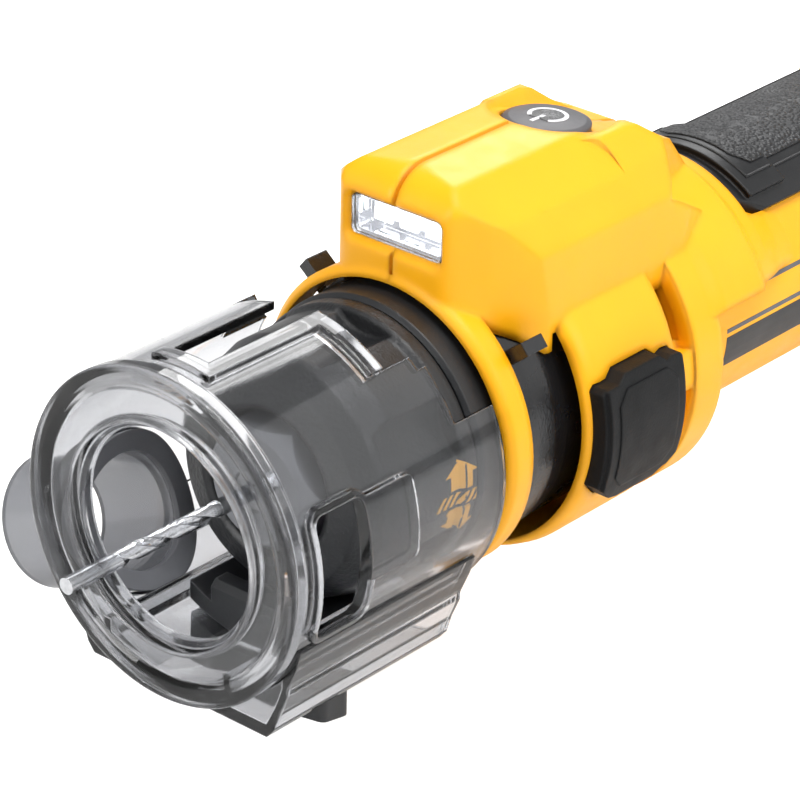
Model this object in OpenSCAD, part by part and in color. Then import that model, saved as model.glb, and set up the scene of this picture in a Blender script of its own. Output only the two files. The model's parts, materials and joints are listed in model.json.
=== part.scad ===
// Cordless drywall cut-out tool with a clear dust shroud, bit collar, lamp and battery pack.
// The spindle axis is Y: the bit points to -Y and the handle runs to +Y. +Z is up, on the lamp's side.
// The origin is on the spindle axis, in the plane of the shroud's front rim.

/* [Dust shroud] */
// Outer radius of the clear shroud
shroud_r = 40; // [39.5:0.5:44]
// Wall of the shroud
shroud_wall = 2.6; // [2:0.1:2.8]
// Length of the shroud from its front rim to its rear edge
shroud_len = 71; // [66:1:72.5]
// Radius of the opening that the bit comes out of
mouth_r = 25; // [20:1:30]
// Width of the flat band round the front rim
rim_band = 6; // [4.5:0.1:7]
// Depth of the rounded lip round the opening
lip_depth = 6; // [4:0.5:9]
// Wall of that lip
lip_wall = 3; // [2:0.25:4]
// Left edge of the slot along the top, from the middle
top_slot_left = 5; // [2:0.5:8]
// Right edge of that slot, from the middle
top_slot_right = 8; // [3:0.1:9]
// Where the top slot starts
top_slot_front = 11; // [9:0.5:25]
// Front edge of the side window
window_front = 8.5; // [8:0.5:16]
// Length of the side window along the axis
window_len = 15.5; // [8:0.5:16]
// Height of the side window
window_h = 29.3; // [16:0.1:32]
// Height of the window's middle above the axis
window_z = 1; // [-3:0.5:4]
// How far the shroud slides forward to set the cutting depth
shroud_travel = 25; // [10:1:28]
// Half width of the flat sole under the shroud
sole_half = 26.5; // [24:0.5:30]
// Drop of the sole below the axis
sole_drop = 42; // [41:0.1:44]

/* [Dust port] */
// Bore of the dust port
port_bore_r = 13.75; // [11:0.25:14.5]
// Wall of the port's tube
port_wall = 2.25; // [1.5:0.25:3]
// Distance from the spindle axis to the port's open end
port_reach = 63; // [56:1:80]
// Direction of the port round the axis
port_angle = 205; // [195:1:208]
// Place of the port along the axis
port_y = 25; // [24:0.5:28]

/* [Bit and collet] */
// Diameter of the cutting bit
bit_d = 4; // [3:0.1:5]
// Reach of the bit's tip in front of the shroud
bit_reach = 27.6; // [15:0.2:40]
// Length of the smooth pilot at the bit's tip
pilot_len = 15; // [6:0.5:20]
// Length of the fluted stretch
flute_len = 32; // [16:1:34]
// Turns of the flutes over that stretch
flute_turns = 1.25; // [0.5:0.25:2.5]
// Front face of the collet nut
nut_front = 31; // [29:0.5:31]
// Length of the collet nut
nut_len = 15; // [12:0.5:15.5]
// Corner radius of the collet nut
nut_r = 16; // [14:0.25:17]
// Radius of the spindle's nose inside the nut
spindle_nose_r = 10; // [9.8:0.1:11]

/* [Bit collar] */
// Radius of the collar's grip
collar_r = 31.4; // [29:0.2:31.8]
// Radius of the collar's rear flange
collar_flange_r = 32.6; // [32:0.1:33]
// Front edge of the collar
collar_front = 34; // [33:0.5:38]
// Rear face of the collar
collar_rear = 68; // [66:0.5:68]
// Number of finger hollows round the collar
collar_hollows = 6; // [3:1:8]
// Depth of each finger hollow
collar_hollow_depth = 3.8; // [1:0.2:5]
// Turn of the collar from locked to free, in degrees
collar_turn = 60; // [30:5:90]
// Forward travel of the lock sleeve over that turn
sleeve_travel = 3; // [1:0.5:4]

/* [Motor] */
// Outer radius of the motor can
can_r = 35; // [34:0.25:36]
// Outer radius of the stator
stator_r = 27; // [24:0.5:29]
// Length of the stator
stator_len = 28; // [20:1:30]
// Radius of the rotor
rotor_r = 12.6; // [11:0.2:14]
// Gap between rotor and stator
air_gap = 0.6; // [0.4:0.1:1]
// Number of stator teeth
tooth_count = 6; // [4:1:7]
// Radius of the fan
fan_r = 27; // [22:0.5:30]
// Number of fan blades
fan_blades = 9; // [5:1:13]

/* [Housing] */
// Wall of the yellow housing
wall = 2.6; // [2.2:0.1:3]
// Outer radius of the drum round the motor
drum_r = 41; // [40:0.25:43]
// Front face of the drum
drum_front = 98.5; // [97:0.5:100]
// Front edge of the vent groove
groove_front = 132; // [131:0.5:133]
// Width of the vent groove
groove_w = 7.5; // [5:0.5:8]
// Rear face of the drum's flange
drum_rear = 151; // [150:0.5:154]
// Outer radius of the front hoop
hoop_r = 38; // [36.5:0.25:39]
// Front face of the hoop
hoop_front = 75; // [74:0.5:76]
// Length of the hoop
hoop_len = 7.5; // [6:0.5:8]
// Height of the head's top above the axis
head_top = 62.2; // [61.5:0.1:66]
// Half width of the head beside the lamp
head_half = 25; // [24:0.25:27]
// Radius of the handle
handle_r = 30.7; // [29.5:0.1:32]
// Rear end of the round handle
handle_rear = 308; // [285:1:310]
// Length of the battery foot behind the handle
foot_len = 16; // [14:1:24]
// Half width of the battery foot
foot_half = 37; // [35:0.5:40]
// Top of the battery foot
foot_top = 42; // [40:0.5:48]
// Bottom of the battery foot, below the axis
foot_drop = 56; // [54:0.5:62]
// Thickness of the side pads outside the drum
pad_proud = 4; // [2:0.25:5]
// Thickness of the handle's soft cover
grip_thick = 3.8; // [2.5:0.1:4.5]

/* [Lamp and power button] */
// Half width of the lamp's window
lamp_half = 13.6; // [10:0.2:14]
// Height of the lamp's window
lamp_h = 10.4; // [9:0.2:14]
// Height of the window's middle above the axis
lamp_z = 48.4; // [47.6:0.2:50]
// Radius of the power button
button_r = 10.8; // [8:0.2:11]
// Place of the button along the axis
button_y = 130.5; // [129:0.5:132]
// Press travel of the button
button_travel = 1.2; // [0.5:0.1:1.5]

/* [Battery pack] */
// Thickness of the pack behind the rails
pack_depth = 53; // [50:1:60]
// Top of the pack
pack_top = 44; // [42:1:52]
// Bottom of the pack, below the axis
pack_drop = 70; // [68:1:80]
// Radius of one cell
cell_r = 9.2; // [8.5:0.1:9.4]
// Length of one cell
cell_len = 65; // [60:1:65]
// Room past each end of the cells
cell_room = 2.6; // [2:0.1:6]

/* [Fits] */
// Gap on the radius of a turning or sliding fit
run_fit = 0.05; // [0.02:0.01:0.1]
// Gap between pieces that lie next to each other
seat_gap = 0.3; // [0.2:0.05:0.4]

/* [Hidden] */

// Facets of true round shapes
fine = 96;
big = 200;

// Shroud
shroud_in = shroud_r - shroud_wall;
barrel_r = shroud_r - 0.6;
front_wall_back = 4;
lip_out = mouth_r + lip_wall;
sole_front = 6.5;
sole_rear = 65;
sole_wall = 2.2;
sole_bevel = 1.8;
frame_proud = 0.9;
window_round = 2.6;
step_low = 58;
step_notch = 55.5;
step_mid = 46;
step_far = 56;
slot_rib = 4;
port_out = port_bore_r + port_wall;
port_seat = shroud_r + 2;
port_collar_r = port_out + 3.5;

// Arm and knob under the collar
arm_in = collar_flange_r + 0.5;
arm_out = shroud_in - seat_gap;
arm_half = 17;
arm_front = 28;
arm_guide_rear = 60;
arm_guide_top = -28;
hook_half = 10.5;
hook_top = -26;
knob_y = 34.4;
knob_half = 21;
knob_stem_r = 5.2;
knob_top = sole_drop + seat_gap;
knob_low = knob_top + 9;
stem_top = arm_in + 1.6;
stem_slot = knob_stem_r + 0.6;

// Spindle line
bit_r = bit_d / 2;
nut_rear = nut_front + nut_len;
nose_rear = 56;
snout_r = 15;
snout_in = 11.5;
snout_front = 57.5;
sleeve_in = spindle_nose_r + 0.4;
hollow_r = 12;
hollow_turn = 5.5;
sleeve_front = 50;
sleeve_rear = 65;
cap_front = collar_rear + 0.6;
cap_rear = 80;
cap_r = hoop_inner() - 0.4;
bearing_front = 70.5;
bearing_len = 8;
front_bearing_r = 13;
shaft_r = 6;
collet_r = 6.6;
collet_tail_r = 5.2;
collet_front = nut_front + 1.5;
collet_rear = 51;
fan_seat_r = 5;
tail_r = 4;
rear_bearing_r = 11;
rear_bearing_front = 143;
rear_bearing_len = 7;
stator_front = 94;
stator_rear = stator_front + stator_len;
stator_bore = rotor_r + air_gap;
yoke_in = stator_r - 6;
can_front = cap_rear;
can_rear = 128;
can_floor = 3;
fan_front = 129.8;
fan_rear = 138;
tab_angle = 39;
tab_out = 43;

// Housing
hoop_rear = hoop_front + hoop_len;
hoop_in_gap = 0.4;
drum_in = drum_r - wall;
groove_rear = groove_front + groove_w;
groove_r = drum_r - 5;
groove_in = groove_r - wall;
neck_rear = 188;
collar_wall_rear = 179.5;
head_front = 76;
head_round = 10.5;
head_rear = 172.5;
deck_front = 114.5;
deck_rear = 156;
deck_fall = 11.6;
deck_half = 11.4;
bowl_r = 13.6;
nose_half = 15.4;
nose_angle = 42;
nose_round = 7;
crest_half = 13.4;
ridge_half = 17;
deck_tilt = atan(deck_fall / (deck_rear - deck_front));
handle_in = handle_r - wall;
flare_front = handle_rear - 26;
grip_rear = flare_front - 1;
foot_rear = handle_rear + foot_len;
foot_corner = sqrt(foot_half * foot_half + foot_drop * foot_drop) + 1;
foot_wall = 3;
seam_half = 0.6;
seam_depth = 0.9;
boss_r = 3.6;
screw_r = 1.6;
screw_head_r = 2.9;
screw_sink = 3.4;
screw_reach = 9;
pad_inset = 1;
pad_front = 101.5;
pad_rear = 131;
pad_low = 25;
pad_high = 21;

// Screw places as distance along the axis, height, and the housing's half width there
SCREWS = [
  [101, 48.5, head_half],
  [160, 24, 30],
  [162, -20, round_half(handle_r, 20)],
  [225, -20, round_half(handle_r, 20)],
  [flare_front - 2, -20, round_half(handle_r, 20)],
  [flare_front - 2, 14, round_half(handle_r, 14)],
  [foot_rear - 8, 8 - foot_drop, foot_half],
  [foot_rear - 8, foot_top - 8, foot_half]
];

// Lamp
lens_front = head_front + 1.6;
lens_len = 2.2;
reflector_len = 5.6;
reflector_front = lens_front + lens_len + 0.1;
board_front = reflector_front + reflector_len + 0.2;
board_thick = 1.6;

// Power button
button_tilt = 10;
crown_tilt = 5;
button_top = deck_z(button_y) + 0.7;
button_deep = 6;
stem_r = 3;
switch_drop = 11.5;

// Battery foot, rails and pack
rail_out = 31;
tongue_half = 24;
tongue_neck = 20;
tongue_thick = 3.2;
rail_lip_front = foot_rear + tongue_thick + 2 * seat_gap;
rail_rear = foot_rear + 8.6;
pack_front = rail_rear + seat_gap;
pack_wall = 2.4;
pack_half = cell_len / 2 + cell_room + pack_wall;
pack_rear = pack_front + pack_depth;
cover_len = 5;
case_front = pack_front + cover_len;
pack_round = 6;
stop_z = foot_top - 4;
tongue_top = stop_z - seat_gap;
tongue_low = -50;
controller_front = 172;
controller_len = 60;
controller_drop = 13;
BLADES = [-12, -4, 4, 12];
blade_thick = 0.8;
blade_low = -8;
blade_top = 20;
blade_reach = 5.5;
cell_pitch = 2 * cell_r + 0.7;
cell_rows = 5;
cell_mid_z = (pack_top - pack_drop) / 2 + 2;
cell_mid_y = (case_front + pack_rear - pack_wall) / 2;
holder_thick = 6;

// Colours
YELLOW = [1, 0.78, 0.1];
BLACK = [0.1, 0.1, 0.11];
GREY = [0.42, 0.42, 0.43];
SMOKE = [0.55, 0.55, 0.57, 0.45];
STEEL = [0.75, 0.76, 0.78];
COPPER = [0.75, 0.42, 0.2];

// Inner radius of the front hoop
function hoop_inner() = hoop_r - 4.2;
// Half width of a circle of radius r at height z
function round_half(r, z) = sqrt(r * r - z * z);
// Height of the sloping deck round the power button
function deck_z(y) = head_top - (y - deck_front) * deck_fall / (deck_rear - deck_front);
// Unit vector
function unit(v) = v / norm(v);
// Arc points that round the corner b between a and c
function corner(a, b, c, r, n) =
  let (u = unit(a - b), v = unit(c - b), half = acos(u * v) / 2,
       mid = b + unit(u + v) * r / sin(half), p = b + u * r / tan(half) - mid, q = b + v * r / tan(half) - mid,
       start = atan2(p[1], p[0]), turn = atan2(p[0] * q[1] - p[1] * q[0], p * q))
  [for (i = [0 : n]) mid + r * [cos(start + turn * i / n), sin(start + turn * i / n)]];
// A polygon of [x, y, radius] points with each corner rounded by its radius
function fillet(points, n = 5) = [
  for (i = [0 : len(points) - 1])
    let (k = len(points), a = points[(i + k - 1) % k], b = points[i], c = points[(i + 1) % k])
    each b[2] == 0 ? [[b[0], b[1]]] : corner([a[0], a[1]], [b[0], b[1]], [c[0], c[1]], b[2], n)
];
// Points of an arc
function arc(cx, cy, r, a0, a1, n = 8) = [
  for (i = [0 : n]) [cx + r * cos(a0 + (a1 - a0) * i / n), cy + r * sin(a0 + (a1 - a0) * i / n)]
];

// A profile drawn in X and Z, extruded from y0 back to y1
module extrude_y(y0, y1) {
  translate([0, y1, 0]) rotate([90, 0, 0]) linear_extrude(y1 - y0) children();
}

// A profile drawn in Y and Z, extruded from x0 to x1
module extrude_x(x0, x1) {
  translate([x0, 0, 0]) rotate([90, 0, 90]) linear_extrude(x1 - x0) children();
}

// A profile of [radius, y] points turned about the spindle axis
module turn_y(points) {
  rotate([-90, 0, 0]) rotate_extrude($fn = fine) polygon(points);
}

// A round bar on the spindle axis
module rod_y(y0, y1, r) {
  extrude_y(y0, y1) circle(r, $fn = fine);
}

// A tube on the spindle axis
module tube_y(y0, y1, outer, inner) {
  extrude_y(y0, y1) difference() {
    circle(outer, $fn = fine);
    circle(inner, $fn = fine);
  }
}

// A sector of the XZ plane between two angles less than 180 degrees apart
module sector(a0, a1, reach = big) {
  polygon([
    [0, 0],
    [reach * cos(a0), reach * sin(a0)],
    [2 * reach * cos((a0 + a1) / 2), 2 * reach * sin((a0 + a1) / 2)],
    [reach * cos(a1), reach * sin(a1)]
  ]);
}

// Places its children with their Z axis pointing out from the spindle axis
module radial(angle, y) {
  translate([0, y, 0]) rotate([0, 90 - angle, 0]) children();
}

// A rectangle with round corners, centred
module round_box(w, h, r) {
  square([w - 2 * r, h], center = true);
  square([w, h - 2 * r], center = true);
  for (sx = [-1, 1], sy = [-1, 1]) {
    translate([sx * (w / 2 - r), sy * (h / 2 - r)]) circle(r, $fn = 32);
  }
}

// A box between two corners
module block(low, high) {
  translate(low) cube(high - low);
}

// Both sides of the object's middle plane
module both_sides() {
  children();
  mirror([1, 0, 0]) children();
}

// The clear shroud's turned wall, front rim and lip
module shroud_shell() {
  turn_y([
    [mouth_r, 3.2], [lip_out - 1.2, 0.3], [lip_out - 0.5, 0.1], [lip_out, 0.5], [lip_out, 1.3],
    [shroud_r - rim_band, 1.3], [shroud_r - rim_band + 1.1, 0.45], [shroud_r - rim_band + 2.5, 0],
    [shroud_r - 1.2, 0], [shroud_r - 0.4, 0.25], [shroud_r, 0.9], [shroud_r, 4],
    [barrel_r, 5], [barrel_r, shroud_len], [shroud_in, shroud_len],
    [shroud_in, front_wall_back + 2], [shroud_in - 2, front_wall_back],
    [lip_out, front_wall_back], [lip_out - 0.6, lip_depth], [mouth_r + 0.6, lip_depth],
    [mouth_r, lip_depth - 0.8]
  ]);
}

// Outline of the stepped sole under the shroud
module sole_outline() {
  polygon([
    [0, -shroud_in - 1], [round_half(shroud_r - 1, 17), -17], [round_half(shroud_r, 17), -17],
    [sole_half + 8.2, -22], [sole_half + 5.7, -27.8], [sole_half + 5.7, -29.6],
    [sole_half + 3.4, -35], [sole_half + 2, 2.4 - sole_drop], [sole_half, -sole_drop],
    [0, -sole_drop]
  ]);
}

// Hollow on each side of the sole, open to the rear
module sole_hollow() {
  difference() {
    polygon([
      [stem_slot + sole_wall, sole_wall - sole_drop], [sole_half - 1.2, sole_wall - sole_drop],
      [sole_half + 1.4, -34.6], [sole_half + 3.4, -29], [sole_half + 3.4, -22], [0, -22]
    ]);
    circle(shroud_r, $fn = fine);
  }
}

module dust_shroud() color(SMOKE) {
  window_y = window_front + window_len / 2;
  difference() {
    union() {
      shroud_shell();
      // Stepped sole
      difference() {
        extrude_y(sole_front, sole_rear) both_sides() sole_outline();
        rod_y(0, big, shroud_in);
        extrude_y(sole_front + sole_wall, big) both_sides() sole_hollow();
      }
      // Raised frame round the window and the panel behind it
      intersection() {
        tube_y(0, shroud_len, shroud_r + frame_proud, shroud_in);
        extrude_x(0, big) {
          translate([window_y, window_z]) round_box(window_len + 3, window_h + 3, window_round + 1.5);
          translate([window_y + window_len - 1, window_z + 4]) round_box(window_len + 3, 20, 2);
        }
      }
      // Raised border of the top slot and of the rear edge next to it
      intersection() {
        tube_y(top_slot_front - slot_rib, step_mid, shroud_r + frame_proud, shroud_in);
        block([-top_slot_right, 0, 0], [top_slot_left + slot_rib, step_mid, big]);
      }
      intersection() {
        tube_y(step_mid - slot_rib, step_mid, shroud_r + frame_proud, shroud_in - 1);
        extrude_y(0, big) sector(54, 84);
      }
      // Guides beside the arm
      intersection() {
        rod_y(front_wall_back, sole_rear, shroud_r - 1.1);
        both_sides() block([arm_half + seat_gap, front_wall_back, -shroud_r],
                           [arm_half + seat_gap + 2, arm_guide_rear, arm_guide_top]);
      }
      // Seat of the dust port
      difference() {
        radial(port_angle, port_y) cylinder(h = port_seat, r = port_collar_r, $fn = fine);
        rod_y(0, big, shroud_in);
      }
    }
    // Side window
    extrude_x(0, big) translate([window_y, window_z]) round_box(window_len, window_h, window_round);
    // Slot along the top
    block([-top_slot_right, top_slot_front, 0], [top_slot_left, big, big]);
    // Slot for the knob's stem, open to the rear
    block([-stem_slot, knob_y - stem_slot, -big], [stem_slot, big, 0]);
    // Stepped rear edge
    extrude_y(step_low, big) sector(28, 49);
    extrude_y(step_notch, big) sector(49, 54);
    extrude_y(step_mid, big) sector(54, 126);
    extrude_y(step_far, big) sector(126, 152);
    // Hole for the dust port and room for its flare
    radial(port_angle, port_y) {
      cylinder(h = big, r = port_out + run_fit, $fn = fine);
      translate([0, 0, port_seat]) cylinder(h = big, r = port_collar_r + seat_gap, $fn = fine);
    }
  }
}

module dust_port() color([0.7, 0.7, 0.72, 0.6]) {
  difference() {
    radial(port_angle, port_y) {
      cylinder(h = port_reach, r = port_out, $fn = fine);
      translate([0, 0, port_seat]) cylinder(h = 2.4, r1 = port_collar_r, r2 = port_out, $fn = fine);
    }
    radial(port_angle, port_y) cylinder(h = big, r = port_bore_r, $fn = fine);
    rod_y(-big, big, shroud_in + run_fit);
  }
}

module port_gasket() color(BLACK) {
  intersection() {
    tube_y(0, shroud_len, shroud_in - run_fit, shroud_in - 1.8);
    radial(port_angle, port_y) difference() {
      cylinder(h = big, r = port_out + 2.4, $fn = fine);
      cylinder(h = big, r = port_bore_r, $fn = fine);
    }
  }
}

// Curved rail inside the shroud's bottom that carries the shroud
module shroud_arm() color(BLACK) difference() {
  union() {
    intersection() {
      tube_y(arm_front, cap_front, arm_out, arm_in);
      block([-arm_half, 0, -big], [arm_half, big, 0]);
    }
    // Raised nose in front of the collar
    intersection() {
      rod_y(0, big, arm_in + 1);
      extrude_x(-hook_half, hook_half) polygon([
        [arm_front, -arm_in - 1], [arm_front, hook_top - 1.5], [arm_front + 1.5, hook_top],
        [collar_front - 0.6, hook_top], [collar_front - 0.6, -arm_in - 1]
      ]);
    }
  }
  translate([0, knob_y, -big]) cylinder(h = big - stem_top + 0.1, r = knob_stem_r + run_fit, $fn = fine);
  arm_screw_places() translate([0, -4, 0]) rod_y(0, 4.1, screw_r + run_fit);
}

// Places of the two screws that hold the arm to the nose
module arm_screw_places() {
  for (side = [-1, 1]) {
    translate([side * 11, cap_front, -round_half((arm_in + arm_out) / 2, 11)]) children();
  }
}

module arm_screws() color(STEEL) {
  arm_screw_places() rod_y(-3.8, 3, screw_r);
}

// Wing knob that clamps the shroud to the arm
module clamp_knob() color(BLACK) {
  intersection() {
    translate([0, 0, -60]) linear_extrude(60) polygon(fillet([
      [-knob_half, knob_y - 3, 2], [-9, knob_y - 7, 3], [9, knob_y - 7, 3], [knob_half, knob_y - 3, 2],
      [knob_half, knob_y + 6.5, 2.5], [-knob_half, knob_y + 6.5, 2.5]
    ]));
    extrude_x(-knob_half - 1, knob_half + 1) polygon(fillet([
      [knob_y - 8, -knob_top, 0], [knob_y - 8, -knob_low, 2], [knob_y + 8, -knob_low - 3, 2],
      [knob_y + 8, -knob_top, 0]
    ]));
  }
  translate([0, knob_y, -knob_top - 1]) cylinder(h = knob_top + 1 - stem_top, r = knob_stem_r, $fn = fine);
}

module bit_collar() color(BLACK) difference() {
  turn_y([
    [nut_r + 1.5, collar_front + 1], [nut_r + 3, collar_front], [collar_r - 6, collar_front + 1.6],
    [collar_r - 2, collar_front + 6], [collar_r, collar_front + 13], [collar_r, collar_rear - 5],
    [collar_flange_r, collar_rear - 3.4], [collar_flange_r, collar_rear],
    [snout_r + run_fit, collar_rear], [snout_r + run_fit, snout_front], [nut_r + 1.5, snout_front]
  ]);
  for (i = [0 : collar_hollows - 1]) {
    rotate([0, 360 / collar_hollows * i + hollow_turn, 0])
      translate([0, 0, collar_r - collar_hollow_depth + hollow_r])
      rod_y(collar_front + 8, collar_rear - 4, hollow_r);
  }
}

// Sleeve that the collar pushes forward to hold the spindle still
module lock_sleeve() color(STEEL) {
  tail = snout_in - run_fit;
  turn_y([
    [sleeve_in, sleeve_front], [snout_r - 0.6, sleeve_front], [snout_r - 0.6, snout_front - 0.5],
    [tail, snout_front - 0.5], [tail, sleeve_rear], [sleeve_in, sleeve_rear]
  ]);
}

module collet_nut() color(GREY) difference() {
  intersection() {
    rotate([0, -4, 0]) extrude_y(nut_front, nut_rear) circle(nut_r, $fn = 6);
    turn_y([
      [0, nut_front], [nut_r - 3.4, nut_front], [nut_r + 0.2, nut_front + 4.2],
      [nut_r + 0.2, nut_rear - 1.5], [nut_r - 1.6, nut_rear], [0, nut_rear]
    ]);
  }
  turn_y([
    [0, nut_front - 1], [collet_r - 1.6, nut_front - 1], [collet_r - 1.6, collet_front],
    [collet_r + 0.2, collet_front], [collet_r + 0.2, 38], [spindle_nose_r + run_fit, 38],
    [spindle_nose_r + run_fit, nut_rear + 1], [0, nut_rear + 1]
  ]);
}

module collet() color(STEEL) difference() {
  turn_y([
    [bit_r + run_fit / 2, nut_front + 0.4], [collet_r - 2, nut_front + 0.4],
    [collet_r - 2, collet_front + 0.1], [collet_r, collet_front + 0.1], [collet_r, 37.5],
    [collet_tail_r, collet_rear], [bit_r + run_fit / 2, collet_rear]
  ]);
  for (i = [0 : 2]) {
    rotate([0, 120 * i + 30, 0]) block([-0.3, nut_front - 1, 0], [0.3, 46, big]);
  }
}

// Two-flute bit with a smooth pilot tip and a plain shank
module cutting_bit() color(STEEL) {
  tip = -bit_reach;
  flute_front = tip + pilot_len;
  rod_y(tip, flute_front + 0.5, bit_r - 0.05);
  translate([0, flute_front, 0]) rotate([-90, 0, 0])
    linear_extrude(flute_len, twist = -360 * flute_turns, slices = 36) difference() {
      circle(bit_r, $fn = 24);
      for (s = [-1, 1]) translate([s * bit_r * 1.12, 0]) circle(bit_r * 0.72, $fn = 16);
    }
  rod_y(flute_front + flute_len - 0.5, collet_rear + 2, bit_r);
}

// Spindle and motor shaft in one piece
module spindle_shaft() color(STEEL) difference() {
  turn_y([
    [0, 38.5], [spindle_nose_r - 1, 38.5], [spindle_nose_r, 39.5], [spindle_nose_r, nose_rear],
    [spindle_nose_r - 0.6, nose_rear], [spindle_nose_r - 0.6, 69], [shaft_r + 2, 69],
    [shaft_r + 2, bearing_front], [shaft_r, bearing_front], [shaft_r, stator_rear + 3],
    [fan_seat_r, stator_rear + 3], [fan_seat_r, rear_bearing_front - 1], [tail_r, rear_bearing_front - 1],
    [tail_r, rear_bearing_front + rear_bearing_len + 1.5], [0, rear_bearing_front + rear_bearing_len + 1.5]
  ]);
  turn_y([
    [0, 38], [collet_r + run_fit, 38], [collet_tail_r + run_fit, collet_rear + 0.5],
    [bit_r + 0.4, collet_rear + 0.5], [bit_r + 0.4, collet_rear + 3], [0, collet_rear + 3]
  ]);
}

module rotor_core() color(GREY) difference() {
  tube_y(stator_front, stator_rear, rotor_r, shaft_r + run_fit / 2);
  magnet_places(run_fit);
}

module rotor_magnets() color(STEEL) magnet_places(0);

// Four flat magnets inside the rotor
module magnet_places(gap) {
  for (i = [0 : 3]) {
    rotate([0, 90 * i, 0])
      block([-5 - gap, stator_front + 1 - gap, rotor_r - 3.4 - gap],
            [5 + gap, stator_rear - 1 + gap, rotor_r - 1.8 + gap]);
  }
}

module cooling_fan() color(BLACK) {
  tube_y(fan_front, fan_rear, fan_seat_r + 4, fan_seat_r + run_fit / 2);
  tube_y(fan_rear - 1.5, fan_rear, fan_r, fan_seat_r + 3);
  for (i = [0 : fan_blades - 1]) {
    rotate([0, 360 / fan_blades * i, 0]) translate([fan_seat_r + 3, 0, 0]) rotate([0, -28, 0])
      block([0, fan_front + 0.6, -0.7], [fan_r - fan_seat_r - 5, fan_rear - 1, 0.7]);
  }
}

module front_bearing() color(STEEL) {
  turn_y([
    [shaft_r + run_fit, bearing_front], [front_bearing_r - 0.6, bearing_front],
    [front_bearing_r, bearing_front + 0.6], [front_bearing_r, bearing_front + bearing_len],
    [shaft_r + run_fit, bearing_front + bearing_len]
  ]);
}

module rear_bearing() color(STEEL) {
  tube_y(rear_bearing_front, rear_bearing_front + rear_bearing_len, rear_bearing_r, tail_r + run_fit);
}

// Bracket that holds the rear bearing inside the drum
module bearing_carrier() color(BLACK) {
  front = rear_bearing_front;
  rear = drum_rear - wall - seat_gap;
  rim = drum_in - seat_gap;
  tube_y(front, rear + 2, rear_bearing_r + 3, rear_bearing_r + run_fit);
  tube_y(front, rear, rim, rim - 2.2);
  for (a = [45 : 90 : 315]) {
    rotate([0, a, 0]) block([rear_bearing_r + 2, front, -2], [rim - 1, rear - 1, 2]);
  }
}

// Black nose that the collar turns on and the front bearing sits in
module nose_cap() color(BLACK) difference() {
  union() {
    tube_y(snout_front, cap_front + 1, snout_r, snout_in);
    turn_y([
      [snout_in, cap_front], [cap_r - 1, cap_front], [cap_r, cap_front + 1], [cap_r, cap_rear],
      [cap_r - 3, cap_rear], [cap_r - 3, cap_front + 3.4], [front_bearing_r + 4, cap_front + 3.4],
      [front_bearing_r + 4, cap_rear], [front_bearing_r + run_fit, cap_rear],
      [front_bearing_r + run_fit, bearing_front - 0.1], [snout_in, bearing_front - 0.1]
    ]);
    // Bosses for the screws into the can and for those of the arm
    nose_screw_places() rod_y(cap_front + 1, cap_rear, 4);
    intersection() {
      block([-arm_half, cap_front, -cap_r], [arm_half, cap_front + 6, 0]);
      tube_y(cap_front, cap_rear, cap_r, front_bearing_r + 4);
    }
    // Foot that the arm butts against, outside the cap's round
    intersection() {
      block([-arm_half, 0, -big], [arm_half, big, 0]);
      tube_y(cap_front, hoop_front - 1, arm_out, cap_r - 1);
    }
  }
  nose_screw_places() {
    rod_y(0, big, screw_r + run_fit);
    rod_y(cap_front - 1, cap_front + 2.4, screw_head_r + 0.2);
  }
  arm_screw_places() rod_y(-1, 3.4, screw_r + run_fit);
}

// Places of the three screws from the nose into the can
module nose_screw_places() {
  for (a = [30, 150, 270]) {
    rotate([0, -a, 0]) translate([24, 0, 0]) children();
  }
}

module nose_screws() color(STEEL) {
  nose_screw_places() {
    rod_y(cap_front + 0.4, cap_front + 2.3, screw_head_r);
    rod_y(cap_front + 2, can_front + can_floor + 2.4, screw_r);
  }
}

// Black can round the stator, seen between the hoop and the drum
module motor_can() color(BLACK) difference() {
  union() {
    turn_y([
      [front_bearing_r + 5, can_front], [cap_r, can_front], [can_r - 0.5, can_front + 3],
      [can_r, can_front + 8], [can_r, can_front + 14], [can_r - 0.6, can_front + 19],
      [can_r - 0.6, can_rear], [can_r - 3, can_rear], [can_r - 3, can_front + can_floor],
      [front_bearing_r + 5, can_front + can_floor]
    ]);
    // Ribs that hold the stator
    for (i = [0 : 5]) {
      rotate([0, 60 * i, 0])
        block([stator_r + run_fit, can_front + 1, -2], [can_r - 2, can_rear - 1, 2]);
    }
    nose_screw_places() rod_y(can_front, can_front + can_floor + 4, 4);
    // Tabs that close the slots beside the hoop
    for (a = [tab_angle, 180 - tab_angle]) {
      rotate([0, -a, 0]) block([can_r - 2, hoop_rear + 1, -1.7], [tab_out, drum_front - 8, 1.7]);
    }
  }
  nose_screw_places() rod_y(0, can_front + can_floor + 2.5, screw_r + run_fit);
}

// Stator laminations with their teeth
module stator_core() color(GREY) extrude_y(stator_front, stator_rear) {
  difference() {
    circle(stator_r, $fn = fine);
    circle(yoke_in, $fn = fine);
  }
  for (i = [0 : tooth_count - 1]) {
    rotate(360 / tooth_count * i) {
      translate([stator_bore + 0.6, -3.3]) square([yoke_in - stator_bore + 0.4, 6.6]);
      intersection() {
        difference() {
          circle(stator_bore + 1.6, $fn = fine);
          circle(stator_bore, $fn = fine);
        }
        sector(-130 / tooth_count, 130 / tooth_count);
      }
    }
  }
}

// One coil round each tooth
module stator_coils() color(COPPER) {
  low = stator_bore + 1.9;
  high = round_half(yoke_in, 6.2) - 0.3;
  for (i = [0 : tooth_count - 1]) {
    rotate([0, 360 / tooth_count * i, 0]) difference() {
      block([low, stator_front - 4, -6.2], [high, stator_rear + 3, 6.2]);
      block([low - 1, stator_front - 0.1, -3.4], [high + 1, stator_rear + 0.1, 3.4]);
    }
  }
}

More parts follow.
